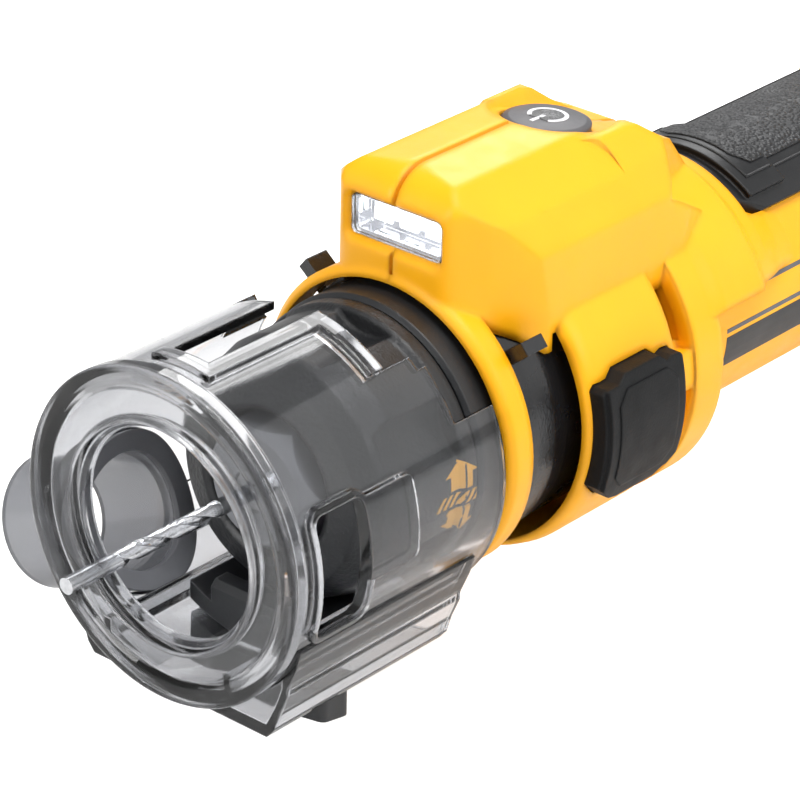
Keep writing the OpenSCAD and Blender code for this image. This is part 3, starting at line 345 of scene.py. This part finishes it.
@dataclass(frozen=True)
class ClearPlastic:
    """A clear or smoked plastic that lets the lamps through."""

    name: str
    colour: str
    # Painted shade: the colour that clear walls turn towards where they are seen edge on.
    painted_edge_shade: str
    shadow: str
    roughness: float
    clarity: float = 1.0
    density: float = 0.0
    ior: float = 1.45
    edge: float = 0.0008

    def make(self) -> bpy.types.Material:
        """Builds the clear finish, with painted shade that darkens the wall where it is seen edge on.

        Returns:
            The material.
        """
        s = Sheet(self.name)
        gloss = s.span(s.noise(SMEAR_SCALE, 3), self.roughness, self.roughness + GLOSS_BELOW, *SMEAR_RANGE)
        normal = s.bump(s.noise(RIPPLE_SCALE, 2), RIPPLE_DEPTH, s.rounded(self.edge))
        # Painted shade: the colour darkens towards the edge-on view, standing in for dark reflections.
        facing = s.add("ShaderNodeLayerWeight", Blend=EDGE_SHADE_BLEND)
        colour = s.blend(s.span(facing.outputs["Facing"], 0, 1, *EDGE_SHADE_RANGE), self.colour, self.painted_edge_shade)
        clear = s.add("ShaderNodeBsdfPrincipled", Base_Color=colour, Roughness=gloss, Normal=normal)
        clear.inputs["IOR"].default_value = self.ior
        clear.inputs["Transmission Weight"].default_value = self.clarity
        through = s.add("ShaderNodeBsdfTransparent", Color=(*linear(self.shadow), 1))
        path = s.add("ShaderNodeLightPath")
        mix = s.add("ShaderNodeMixShader", Fac=path.outputs["Is Shadow Ray"])
        s.link(clear.outputs["BSDF"], mix.inputs[1])
        s.link(through.outputs["BSDF"], mix.inputs[2])
        if self.density > 0:
            smoke = s.add("ShaderNodeVolumeAbsorption", Color=SMOKE_TINT, Density=self.density)
            s.link(smoke.outputs["Volume"], s.output.inputs["Volume"])
        return s.finish(mix.outputs["Shader"])


@dataclass(frozen=True)
class Glow:
    """A lit surface."""

    name: str
    colour: str
    strength: float
    roughness: float = 0.3

    def make(self) -> bpy.types.Material:
        """Builds the lit finish on a pale body.

        Returns:
            The material.
        """
        s = Sheet(self.name)
        colour = (*linear(self.colour), 1)
        shader = s.add("ShaderNodeBsdfPrincipled")
        shader.inputs["Base Color"].default_value = colour
        shader.inputs["Roughness"].default_value = self.roughness
        shader.inputs["Emission Color"].default_value = colour
        shader.inputs["Emission Strength"].default_value = self.strength
        return s.finish(shader.outputs["BSDF"])


@dataclass
class Finishes:
    """Every finish on the tool, built once."""

    made: dict[str, bpy.types.Material] = field(default_factory=dict)

    def build(self) -> None:
        """Builds all the finishes."""
        looks = (
            Moulding("yellow_shell", "F5AE08", "F1A706", 0.36, Grain.SPARK, 2600, 0.00004, 0.003, 0.36),
            Moulding("black_shell", "1D1E20", "17181A", 0.4, Grain.SPARK, 2600, 0.00004),
            Moulding("motor_black", "101113", "18191B", 0.24, Grain.SPARK, 1100, 0.00009),
            Moulding("soft_black", "101113", "0C0D0E", 0.52, Grain.SPARK, 1700, 0.00006, 0.001, 0.2),
            Moulding("grip_black", "16171A", "121315", 0.45, Grain.PEBBLE, 900, 0.0003, 0.001, 0.42),
            Moulding("grip_smooth", "131416", "0F1012", 0.38, Grain.SPARK, 2200, 0.00004, 0.001, 0.4),
            Moulding("collar_grey", "1C1D1F", "141517", 0.42, Grain.SPARK, 1000, 0.0002, 0.0015),
            Moulding("button_grey", "4E4D50", "474649", 0.42, Grain.SPARK, 2600, 0.00003),
            Moulding("seal_grey", "66676A", "5A5B5E", 0.4, Grain.SPARK, 2000, 0.00003),
            Moulding("holder_grey", "77777A", "6C6C70", 0.5, Grain.SPARK, 2000, 0.00003),
            Moulding("board_green", "0E4A2A", "0B3F22", 0.35, Grain.SPARK, 1500, 0.00002),
            Moulding("potting", "24262C", "1C1E22", 0.3, Grain.SPARK, 500, 0.00005),
            Moulding("cell_wrap", "2B63B0", "2557A0", 0.3, Grain.SPARK, 900, 0.00001),
            Moulding("gauge_red", "B5301C", "9C2616", 0.25, Grain.SPARK, 1200, 0.00001),
            Moulding("white_paint", "E6E6E8", "DADADC", 0.5, Grain.SPARK, 3000, 0.00001, 0.0001),
            Moulding("plated_grey", "77787B", "66676A", 0.34, Grain.SPARK, 1400, 0.00004, 0.0006),
            Metal("satin_steel", "9FA0A2", "8A8B8D", 0.36, (1.0, 6.0, 1.0)),
            Metal("bright_steel", "C9CACC", "B4B5B8", 0.14, (1.0, 4.0, 1.0), 0.000002, 0.0001),
            Metal("screw_steel", "5A5A5C", "49494B", 0.35),
            Metal("lamination", "6B6B6E", "505053", 0.45, (0.2, 8.0, 0.2)),
            Metal("winding", "B8683A", "9A5128", 0.3, (0.3, 5.0, 0.3)),
            Metal("reflector", "E8E8EA", "DCDCDF", 0.12),
            Moulding("mark_yellow", "F0B23A", "E6A62E", 0.5, Grain.SPARK, 3000, 0.00001, 0.0001),
            Moulding("label_grey", "5A5C60", "505256", 0.45, Grain.SPARK, 3000, 0.00001, 0.0001),
            Moulding("label_black", "1A1B1D", "141517", 0.4, Grain.SPARK, 3000, 0.00001, 0.0001),
            # The second colour of each clear finish is painted shade for walls seen edge on.
            ClearPlastic("smoke_clear", "EEEFF1", "BFC0C3", "D6D7DA", 0.03, 1.0, 105.0),
            ClearPlastic("smoke_port", "919296", "5A5C60", "9A9B9E", 0.2, 0.6),
            ClearPlastic("lens_clear", "F6F8FA", "D8DADC", "F0F2F4", 0.02),
            Glow("lamp_glow", "FAFCFF", 3.5),
        )
        for look in looks:
            self.made[look.name] = look.make()
        log.info("finishes: %d", len(self.made))

    def wear(self, piece: bpy.types.Object, name: str) -> None:
        """Gives a piece one finish in place of what it had.

        Args:
            piece: The piece.
            name: The finish's name.
        """
        piece.data.materials.clear()
        piece.data.materials.append(self.made[name])
        for face in piece.data.polygons:
            face.material_index = 0


@dataclass
class Skin:
    """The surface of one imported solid, for pieces that lie on it."""

    node: bpy.types.Object
    tree: BVHTree = field(init=False)

    def __post_init__(self) -> None:
        """Builds the search tree of the solid's faces."""
        mesh = self.node.data
        corners = [v.co for v in mesh.vertices]
        self.tree = BVHTree.FromPolygons(corners, [tuple(f.vertices) for f in mesh.polygons])

    def meet(self, ray: Ray) -> Vector:
        """Where a ray first meets the solid.

        Args:
            ray: The start, in metres, and the direction.

        Returns:
            The point on the solid.
        """
        start, way = ray
        point = self.tree.ray_cast(start, way)[0]
        if point is None:
            point = self.tree.find_nearest(start)[0]
        return point


@dataclass
class Inlay:
    """Thin closed pieces that follow a solid's surface, with measures in millimetres."""

    skin: Skin
    place: Callable[[float, float], Ray]
    lift: float
    sink: float
    step: float

    def make(self, name: str, outlines: Iterable[Outline]) -> bpy.types.Object:
        """Cuts the outlines out of a thin sheet that lies on the surface.

        Args:
            name: The piece's name.
            outlines: Flat outlines in millimetres.

        Returns:
            The piece, with its place in its mesh.
        """
        bm = bmesh.new()
        for outline in outlines:
            bm.faces.new([bm.verts.new((u, v, 0)) for u, v in outline])
        bmesh.ops.triangulate(bm, faces=bm.faces[:])
        self.slice(bm)
        bmesh.ops.triangulate(bm, faces=bm.faces[:])
        rays = {vert: self.place(vert.co.x, vert.co.y) for vert in bm.verts}
        lower = bmesh.ops.extrude_face_region(bm, geom=bm.faces[:])
        base = [g for g in lower["geom"] if isinstance(g, bmesh.types.BMVert)]
        for vert in base:
            self.drop(vert, self.place(vert.co.x, vert.co.y), -self.sink)
        for vert, ray in rays.items():
            self.drop(vert, ray, self.lift)
        bmesh.ops.recalc_face_normals(bm, faces=bm.faces[:])
        return shape_from(bm, name)

    def slice(self, bm: bmesh.types.BMesh) -> None:
        """Cuts the flat sheet into strips that can follow a curve.

        Args:
            bm: The flat sheet.
        """
        for axis in (0, 1):
            low = min(v.co[axis] for v in bm.verts)
            high = max(v.co[axis] for v in bm.verts)
            way = Vector((1, 0, 0)) if axis == 0 else Vector((0, 1, 0))
            for i in range(1, math.ceil((high - low) / self.step)):
                everything = bm.verts[:] + bm.edges[:] + bm.faces[:]
                cut = way * (low + i * self.step)
                bmesh.ops.bisect_plane(bm, geom=everything, plane_co=cut, plane_no=way)

    def drop(self, vert: bmesh.types.BMVert, ray: Ray, rise: float) -> None:
        """Puts a corner on the surface, a little above or below it."""
        vert.co = self.skin.meet(ray) - ray[1].normalized() * rise * MM


@dataclass(frozen=True)
class Wrap:
    """Places flat outlines around the tool's long axis."""

    radius: float
    standoff: float
    middle: float = 0.0
    along: float = 0.0
    side: int = 1
    turn: int = 1

    def ray(self, u: float, v: float) -> Ray:
        """The ray in towards the axis for a point of an outline.

        Args:
            u: Measure rearward in millimetres.
            v: Measure around the axis in millimetres.

        Returns:
            The ray, which starts at the standoff in metres.
        """
        angle = self.middle + self.turn * v / self.radius
        out = Vector((self.side * math.cos(angle), 0, math.sin(angle)))
        return out * self.standoff + Vector((0, (self.along + u) * MM, 0)), -out


@dataclass
class Row:
    """Geometry nodes that repeat one item along a line."""

    name: str = "row_of_items"

    def tree(self) -> bpy.types.NodeTree:
        """Builds the node tree.

        Returns:
            The tree, with inputs for the item, count, step and finish.
        """
        tree = bpy.data.node_groups.new(self.name, "GeometryNodeTree")
        kinds = {"Item": "Object", "Count": "Int", "Step": "Vector", "Finish": "Material"}
        tree.interface.new_socket("Geometry", in_out="INPUT", socket_type="NodeSocketGeometry")
        for label, kind in kinds.items():
            tree.interface.new_socket(label, in_out="INPUT", socket_type=f"NodeSocket{kind}")
        tree.interface.new_socket("Geometry", in_out="OUTPUT", socket_type="NodeSocketGeometry")
        given = tree.nodes.new("NodeGroupInput").outputs
        line = tree.nodes.new("GeometryNodeMeshLine")
        item = tree.nodes.new("GeometryNodeObjectInfo")
        copies = tree.nodes.new("GeometryNodeInstanceOnPoints")
        real = tree.nodes.new("GeometryNodeRealizeInstances")
        coat = tree.nodes.new("GeometryNodeSetMaterial")
        out = tree.nodes.new("NodeGroupOutput")
        for source, target in (
            (given["Count"], line.inputs["Count"]),
            (given["Step"], line.inputs["Offset"]),
            (given["Item"], item.inputs["Object"]),
            (line.outputs["Mesh"], copies.inputs["Points"]),
            (item.outputs["Geometry"], copies.inputs["Instance"]),
            (copies.outputs["Instances"], real.inputs["Geometry"]),
            (real.outputs["Geometry"], coat.inputs["Geometry"]),
            (given["Finish"], coat.inputs["Material"]),
            (coat.outputs["Geometry"], out.inputs["Geometry"]),
        ):
            tree.links.new(source, target)
        return tree

    def repeat(
        self, name: str, item: bpy.types.Object, count: int, finish: bpy.types.Material, step: Vector
    ) -> bpy.types.Object:
        """Repeats an item and keeps the result as a plain mesh.

        Args:
            name: The new piece's name.
            item: The item, which is used up.
            count: Number of copies.
            finish: Their finish.
            step: Move from one copy to the next, in metres.

        Returns:
            The piece with all the copies.
        """
        holder = bpy.data.objects.new(f"{name}_holder", bpy.data.meshes.new(f"{name}_holder"))
        bpy.context.scene.collection.objects.link(holder)
        modifier = holder.modifiers.new("row", "NODES")
        modifier.node_group = self.tree()
        values = {"Item": item, "Count": count, "Step": step, "Finish": finish}
        for socket in modifier.node_group.interface.items_tree:
            if socket.in_out == "INPUT" and socket.name in values:
                modifier[socket.identifier] = values[socket.name]
        seen = holder.evaluated_get(bpy.context.evaluated_depsgraph_get())
        mesh = bpy.data.meshes.new_from_object(seen)
        for spent in (holder, item):
            bpy.data.objects.remove(spent)
        piece = bpy.data.objects.new(name, mesh)
        bpy.context.scene.collection.objects.link(piece)
        return piece


def seen_share(tree: bpy.types.NodeTree) -> bpy.types.NodeSocket:
    """A value that is 1 for the camera and through clear pieces, and 0 for all other light.

    Args:
        tree: The node tree that it goes into.

    Returns:
        The value.
    """
    path = tree.nodes.new("ShaderNodeLightPath")
    seen = tree.nodes.new("ShaderNodeMath")
    seen.operation = "MAXIMUM"
    tree.links.new(path.outputs["Is Camera Ray"], seen.inputs[0])
    tree.links.new(path.outputs["Is Transmission Ray"], seen.inputs[1])
    return seen.outputs[0]


def shape_from(bm: bmesh.types.BMesh, name: str) -> bpy.types.Object:
    """Turns a finished bmesh into an object at the origin.

    Args:
        bm: The mesh data, which is freed.
        name: The object's name.

    Returns:
        The object.
    """
    mesh = bpy.data.meshes.new(name)
    bm.to_mesh(mesh)
    bm.free()
    piece = bpy.data.objects.new(name, mesh)
    bpy.context.scene.collection.objects.link(piece)
    return piece


def soft_block(name: str, low: Vector, high: Vector, edge: float, steps: int = 3) -> bpy.types.Object:
    """Makes a box with round edges.

    Args:
        name: The piece's name.
        low: Its lowest corner in metres.
        high: Its highest corner in metres.
        edge: Radius of its edges in metres.
        steps: Faces across each round edge.

    Returns:
        The piece.
    """
    bm = bmesh.new()
    bmesh.ops.create_cube(bm, size=1)
    for vert in bm.verts:
        vert.co = Vector(low[i] + (vert.co[i] + 0.5) * (high[i] - low[i]) for i in range(3))
    bmesh.ops.bevel(bm, geom=bm.edges[:], offset=edge, segments=steps, affect="EDGES", profile=0.5)
    bmesh.ops.recalc_face_normals(bm, faces=bm.faces[:])
    return shape_from(bm, name)


def ring_outline(outer: float, inner: float, start: float, end: float, steps: int = 48) -> Outline:
    """Outline of part of a flat ring.

    Args:
        outer: Outer radius.
        inner: Inner radius.
        start: First angle in degrees.
        end: Last angle in degrees.
        steps: Number of straight pieces along each arc.

    Returns:
        The points in order.
    """
    angles = [math.radians(start + (end - start) * i / steps) for i in range(steps + 1)]
    far = [(outer * math.cos(a), outer * math.sin(a)) for a in angles]
    near = [(inner * math.cos(a), inner * math.sin(a)) for a in reversed(angles)]
    return far + near


def bar_outline(u0: float, u1: float, v0: float, v1: float, slant: float = 0.0) -> Outline:
    """Outline of a straight or slanted bar."""
    return [(u0, v0), (u1, v0), (u1 + slant, v1), (u0 + slant, v1)]


@dataclass
class PowerMark:
    """The ring and bar on the power button."""

    finishes: Finishes
    tilt: float = 10.0
    ring_r: float = 4.9
    line: float = 1.05
    gap: float = 38.0
    bar_from: float = 1.4
    bar_to: float = 6.3
    standoff: float = 0.02

    def build(self, button: bpy.types.Object) -> None:
        """Lays the mark on the button's crown, with its bar towards the lamp.

        Args:
            button: The power button.
        """
        low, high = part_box("power_button")
        middle = (Vector(low) + Vector(high)) / 2
        turn = Euler((math.radians(-self.tilt), 0, 0)).to_matrix()
        out = turn @ Vector((0, 0, 1))

        def place(u: float, v: float) -> Ray:
            """A ray down onto the crown."""
            return middle + turn @ Vector((u * MM, v * MM, 0)) + out * self.standoff, -out

        ring = ring_outline(self.ring_r, self.ring_r - self.line, -90 + self.gap, 270 - self.gap)
        bar = bar_outline(-self.line / 2, self.line / 2, -self.bar_to, -self.bar_from)
        mark = Inlay(Skin(button), place, lift=0.12, sink=0.25, step=0.6).make("power_mark", [ring, bar])
        self.finishes.wear(mark, "white_paint")
        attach(mark, "button")
        log.info("power mark")


@dataclass
class CollarMarks:
    """Arrows for both turns of the bit collar, with hatching between them."""

    finishes: Finishes
    radius: float = 32.0
    along: float = 63.5
    wide: float = 4.8
    head: float = 3.2
    tall: float = 6.9
    up_from: float = 2.4
    down_from: float = -2.6
    hatch: float = 7.6
    hatch_half: float = 1.5
    bars: int = 7
    neck_share: float = 0.62
    middle_deg: float = -5.5
    standoff: float = 0.06

    def arrow(self, start: float, way: int) -> Outline:
        """Outline of a broad arrow that starts at a height and points up or down.

        Args:
            start: Height of its base in millimetres.
            way: 1 for up and -1 for down.

        Returns:
            The points in order.
        """
        w, neck, shoulder = self.wide, self.wide * self.neck_share, self.tall - self.head
        points = [(-neck, 0), (neck, 0), (neck, shoulder), (w, shoulder), (0, self.tall)]
        points += [(-w, shoulder), (-neck, shoulder)]
        outline = [(u, start + way * v) for u, v in points]
        return outline if way > 0 else outline[::-1]

    def build(self, collar: bpy.types.Object) -> None:
        """Lays the marks on the left side of the collar, which the photograph shows.

        Args:
            collar: The collar.
        """
        wrap = Wrap(self.radius, self.standoff, math.radians(self.middle_deg), self.along)
        pitch = 2 * self.hatch / self.bars
        starts = [-self.hatch + i * pitch for i in range(self.bars)]
        ends = [-self.hatch + (i + 0.5) * pitch for i in range(self.bars)]
        hatch = [
            bar_outline(start, end, -self.hatch_half, self.hatch_half, pitch)
            for start, end in zip(starts, ends, strict=True)
        ]
        shapes = [self.arrow(self.up_from, 1), self.arrow(self.down_from, -1), *hatch]
        marks = Inlay(Skin(collar), wrap.ray, lift=0.08, sink=0.25, step=0.9).make("collar_marks", shapes)
        self.finishes.wear(marks, "mark_yellow")
        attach(marks, "collar")
        log.info("collar marks")


@dataclass
class Lamp:
    """The back of the lamp's tray, which glows with painted light, and its light chips."""

    finishes: Finishes
    chips: int = 3
    pitch: float = 7.6
    chip: Triple = (5.2, 0.8, 4.4)
    back_wall: float = 1.4
    panel_deep: float = 0.0004
    panel_low: Point = (0.0034, 0.0036)
    panel_high: Point = (0.0016, 0.0014)
    panel_edge: float = 0.00015
    chip_edge: float = 0.0002

    def build(self) -> None:
        """Puts a painted glow on the back of the tray and lays the light chips."""
        low, high = (Vector(c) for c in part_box("lamp_reflector"))
        middle = (low + high) / 2
        back = high.y - self.back_wall * MM
        face = back - self.panel_deep
        near = Vector((low.x + self.panel_low[0], face, low.z + self.panel_low[1]))
        far = Vector((high.x - self.panel_high[0], back, high.z - self.panel_high[1]))
        # The panel's glow is painted light, standing in for the chips' light spread over the tray's back.
        panel = soft_block("lamp_panel", near, far, self.panel_edge)
        self.finishes.wear(panel, "lamp_glow")
        w, d, h = (v * MM for v in self.chip)
        first = middle.x - (self.chips - 1) / 2 * self.pitch * MM
        corner = Vector((first - w / 2, face - d, middle.z - h / 2))
        item = soft_block("chip", corner, corner + Vector((w, d, h)), self.chip_edge)
        step = Vector((self.pitch * MM, 0, 0))
        row = Row().repeat("lamp_chips", item, self.chips, self.finishes.made["lamp_glow"], step)
        for piece in (panel, row):
            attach(piece, "housing")
        log.info("lamp")


@dataclass
class HandleLabels:
    """Plain stripes and a bare dark band on both sides of the handle."""

    finishes: Finishes
    handle_r: float = 30.7
    front: float = 165.5
    length: float = 104.0
    top: float = 9.7
    stripe: float = 1.1
    band: float = 8.4
    drop: float = 7.9
    standoff: float = 0.06

    def build(self, halves: dict[int, bpy.types.Object]) -> None:
        """Lays the stripes on both halves.

        Args:
            halves: The housing halves by side, 1 for the left and -1 for the right.
        """
        for side, half in halves.items():
            self.lay(side, half)
        log.info("handle labels")

    def lay(self, side: int, half: bpy.types.Object) -> None:
        """Lays the stripes on one side.

        Args:
            side: 1 for the left and -1 for the right.
            half: The housing half on that side.
        """
        wrap = Wrap(self.handle_r, self.standoff, side=side)
        rear = self.front + self.length
        upper = bar_outline(self.front, rear, self.top - self.stripe, self.top)
        low_v = self.top - self.drop
        lower = bar_outline(self.front, rear, low_v - self.stripe, low_v)
        band_top = low_v - 2 * self.stripe
        band = bar_outline(self.front, rear, band_top - self.band, band_top)
        skin = Skin(half)
        tag = "left" if side > 0 else "right"
        for name, shapes, finish in (
            (f"label_stripes_{tag}", [upper, lower], "label_grey"),
            (f"label_band_{tag}", [band], "label_black"),
        ):
            piece = Inlay(skin, wrap.ray, lift=0.08, sink=0.2, step=0.8).make(name, shapes)
            self.finishes.wear(piece, finish)
            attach(piece, "housing")


@dataclass
class GripPanel:
    """The pebbled field on the handle's cover, with the fine ridge that frames it."""

    finishes: Finishes
    front: float = 191.5
    rear: float = 270.0
    half_angle: float = 24.0
    margin: float = 2.6
    ridge: float = 0.7
    corner: float = 5.0
    corner_share: float = 0.6
    standoff: float = 0.06

    def build(self, cover: bpy.types.Object) -> None:
        """Lays the field and its frame on the cover.

        Args:
            cover: The handle's cover.
        """
        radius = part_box("grip_cover")[1][2] / MM
        wrap = Wrap(radius, self.standoff, middle=math.pi / 2, turn=-1)
        skin = Skin(cover)
        half = math.radians(self.half_angle) * radius
        bend = self.front + self.corner * self.corner_share
        field_outline = [
            (self.front, -half + self.corner), (bend, -half), (self.rear, -half), (self.rear, half),
            (bend, half), (self.front, half - self.corner),
        ]
        panel = Inlay(skin, wrap.ray, lift=0.3, sink=0.3, step=2.0).make("grip_panel", [field_outline])
        self.finishes.wear(panel, "grip_black")
        wide = half + self.margin
        ends = (self.front - self.margin, self.rear + self.margin)
        bars = [bar_outline(ends[0], ends[1], v, v + self.ridge) for v in (-wide - self.ridge, wide)]
        bars += [bar_outline(u, u + self.ridge, -wide, wide) for u in (ends[0], ends[1] - self.ridge)]
        frame = Inlay(skin, wrap.ray, lift=0.22, sink=0.3, step=2.0).make("grip_frame", bars)
        self.finishes.wear(frame, "grip_smooth")
        for piece in (panel, frame):
            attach(piece, "housing")
        log.info("grip panel")


@dataclass
class PadPlates:
    """The raised bare fields on the two side pads."""

    finishes: Finishes
    reach: float = 42.0
    front: float = 105.6
    rear: float = 127.4
    low: float = -13.4
    high: float = 10.8
    corner: float = 3.4
    standoff: float = 0.07

    def build(self, pads: dict[int, bpy.types.Object]) -> None:
        """Lays a plate on each pad.

        Args:
            pads: The pads by side, 1 for the left and -1 for the right.
        """
        f, r, lo, hi, c = self.front, self.rear, self.low, self.high, self.corner
        outline = [(f, lo + c), (f + c, lo), (r - c, lo), (r, lo + c)]
        outline += [(r, hi - c), (r - c, hi), (f + c, hi), (f, hi - c)]
        for side, pad in pads.items():
            wrap = Wrap(self.reach, self.standoff, side=side)
            shape = outline if side > 0 else outline[::-1]
            tag = "left" if side > 0 else "right"
            inlay = Inlay(Skin(pad), wrap.ray, lift=0.25, sink=0.3, step=1.5)
            plate = inlay.make(f"pad_plate_{tag}", [shape])
            self.finishes.wear(plate, "soft_black")
            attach(plate, "housing")
        log.info("pad plates")


@dataclass
class PhotoCamera:
    """The camera that the photograph was taken with, with its place in millimetres."""

    azimuth: float = 40.29
    elevation: float = 27.13
    roll: float = 1.29
    focal_px: float = 3852.6
    frame_px: float = 800.0
    place: Triple = (510.43, -521.78, 408.38)
    sensor_mm: float = 36.0
    reach: Point = (0.05, 20.0)

    def build(self) -> None:
        """Places the camera."""
        a, e, r = (math.radians(v) for v in (self.azimuth, self.elevation, self.roll))
        back = Vector((math.sin(a) * math.cos(e), -math.cos(a) * math.cos(e), math.sin(e)))
        flat = Vector((math.cos(a), math.sin(a), 0))
        rise = back.cross(flat)
        right = math.cos(r) * flat + math.sin(r) * rise
        up = -math.sin(r) * flat + math.cos(r) * rise
        data = bpy.data.cameras.new("photo_camera")
        data.sensor_width = self.sensor_mm
        data.lens = self.focal_px / self.frame_px * data.sensor_width
        data.clip_start, data.clip_end = self.reach
        camera = bpy.data.objects.new("photo_camera", data)
        turn = Matrix((right, up, back)).transposed().to_4x4()
        camera.matrix_world = Matrix.Translation(Vector(self.place) * MM) @ turn
        bpy.context.scene.collection.objects.link(camera)
        bpy.context.scene.camera = camera
        log.info("camera")


@dataclass(frozen=True)
class SoftBox:
    """A square lamp: its place in metres, its side in metres and its power in watts."""

    name: str
    place: Triple
    size: float
    power: float

    def hang(self, aim: Vector) -> None:
        """Hangs the lamp.

        Args:
            aim: The point that it faces.
        """
        data = bpy.data.lights.new(self.name, "AREA")
        data.shape = "SQUARE"
        data.size = self.size
        data.energy = self.power
        lamp = bpy.data.objects.new(self.name, data)
        lamp.location = self.place
        lamp.rotation_euler = (aim - Vector(self.place)).to_track_quat("-Z", "Y").to_euler()
        bpy.context.scene.collection.objects.link(lamp)


@dataclass
class Studio:
    """The pale floor, the lamps and the surrounding light."""

    floor_z: float
    floor_size: float = 6.0
    floor_grey: float = 0.8
    floor_glow: float = 0.62
    sky: float = 0.5
    aim: Triple = (0.0, 0.12, 0.0)
    soft_boxes: tuple[SoftBox, ...] = (
        SoftBox("key", (0.35, 0.1, 1.7), 0.9, 27.0),
        SoftBox("side", (1.4, 0.2, 0.8), 0.7, 7.5),
        SoftBox("front", (-0.3, -1.5, 0.7), 0.8, 15.0),
        SoftBox("back", (-0.75, 1.2, 1.05), 0.7, 10.0),
        SoftBox("rear", (1.1, 1.4, 0.9), 1.6, 6.5),
    )

    def build(self) -> None:
        """Builds the floor, the lamps and the world."""
        self.lay_floor()
        for box in self.soft_boxes:
            box.hang(Vector(self.aim))
        self.light_world()
        log.info("studio: %d lamps", len(self.soft_boxes))

    def lay_floor(self) -> None:
        """Lays the pale floor, which shows white and keeps the tool's shadow."""
        bm = bmesh.new()
        half = self.floor_size / 2
        signs = ((-1, -1), (1, -1), (1, 1), (-1, 1))
        bm.faces.new([bm.verts.new((x * half, y * half, self.floor_z)) for x, y in signs])
        floor = shape_from(bm, "floor")
        s = Sheet("floor_white")
        paper = s.add("ShaderNodeBsdfDiffuse", Color=(*[self.floor_grey] * 3, 1))
        level = s.add("ShaderNodeMath")
        level.operation = "MULTIPLY"
        s.link(seen_share(s.tree), level.inputs[0])
        level.inputs[1].default_value = self.floor_glow
        shine = s.add("ShaderNodeEmission", Color=WHITE, Strength=level.outputs[0])
        both = s.add("ShaderNodeAddShader")
        s.link(paper.outputs[0], both.inputs[0])
        s.link(shine.outputs[0], both.inputs[1])
        floor.data.materials.append(s.finish(both.outputs[0]))
        floor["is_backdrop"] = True

    def light_world(self) -> None:
        """Lights the surroundings, which show white to the camera and through clear pieces."""
        world = bpy.data.worlds.new("studio")
        bpy.context.scene.world = world
        world.use_nodes = True
        tree = world.node_tree
        tree.nodes.clear()
        out = tree.nodes.new("ShaderNodeOutputWorld")
        mix = tree.nodes.new("ShaderNodeMixShader")
        tree.links.new(seen_share(tree), mix.inputs[0])
        for slot, strength in ((1, self.sky), (2, 1.0)):
            surround = tree.nodes.new("ShaderNodeBackground")
            surround.inputs["Strength"].default_value = strength
            surround.inputs["Color"].default_value = WHITE
            tree.links.new(surround.outputs[0], mix.inputs[slot])
        tree.links.new(mix.outputs[0], out.inputs["Surface"])


@dataclass
class CadPieces:
    """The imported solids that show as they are, each with its finish."""

    finishes: Finishes
    worn: dict[str, str] = field(
        default_factory=lambda: {
            "housing_left": "yellow_shell",
            "housing_right": "yellow_shell",
            "housing_screws": "screw_steel",
            "side_pad_left": "soft_black",
            "side_pad_right": "soft_black",
            "grip_cover": "grip_smooth",
            "lamp_lens": "lens_clear",
            "lamp_reflector": "reflector",
            "lamp_board": "board_green",
            "power_button": "button_grey",
            "switch_board": "board_green",
            "nose_cap": "black_shell",
            "nose_screws": "screw_steel",
            "motor_can": "motor_black",
            "stator_core": "lamination",
            "stator_coils": "winding",
            "front_bearing": "bright_steel",
            "rear_bearing": "bright_steel",
            "bearing_carrier": "black_shell",
            "controller": "potting",
            "terminal_block": "black_shell",
            "terminal_blades": "bright_steel",
            "spindle_shaft": "satin_steel",
            "rotor_core": "lamination",
            "rotor_magnets": "bright_steel",
            "cooling_fan": "black_shell",
            "collet": "satin_steel",
            "collet_nut": "plated_grey",
            "cutting_bit": "bright_steel",
            "bit_collar": "collar_grey",
            "lock_sleeve": "satin_steel",
            "shroud_arm": "black_shell",
            "arm_screws": "screw_steel",
            "clamp_knob": "black_shell",
            "dust_shroud": "smoke_clear",
            "dust_port": "smoke_port",
            "port_gasket": "seal_grey",
            "pack_case": "black_shell",
            "pack_cover": "black_shell",
            "pack_cells": "cell_wrap",
            "cell_holder": "holder_grey",
            "pack_screws": "screw_steel",
            "pack_release": "yellow_shell",
            "gauge_button": "button_grey",
            "gauge_lights": "gauge_red",
        }
    )

    def dress(self, nodes: dict[str, bpy.types.Object]) -> None:
        """Gives each solid its finish.

        Args:
            nodes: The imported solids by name.
        """
        for name, finish in self.worn.items():
            self.finishes.wear(nodes[name], finish)
        log.info("solids dressed: %d", len(self.worn))


def main() -> None:
    """Builds the scene in order."""
    logging.basicConfig(level=logging.INFO)
    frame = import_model()
    scene = bpy.context.scene
    scene.view_settings.view_transform = "Standard"
    PhotoCamera().build()
    finishes = Finishes()
    finishes.build()
    nodes = frame["nodes"]
    CadPieces(finishes).dress(nodes)
    PowerMark(finishes).build(nodes["power_button"])
    CollarMarks(finishes).build(nodes["bit_collar"])
    Lamp(finishes).build()
    HandleLabels(finishes).build({1: nodes["housing_left"], -1: nodes["housing_right"]})
    GripPanel(finishes).build(nodes["grip_cover"])
    PadPlates(finishes).build({1: nodes["side_pad_left"], -1: nodes["side_pad_right"]})
    Studio(floor_z=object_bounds()[0][2]).build()


if __name__ == "__main__":
    main()
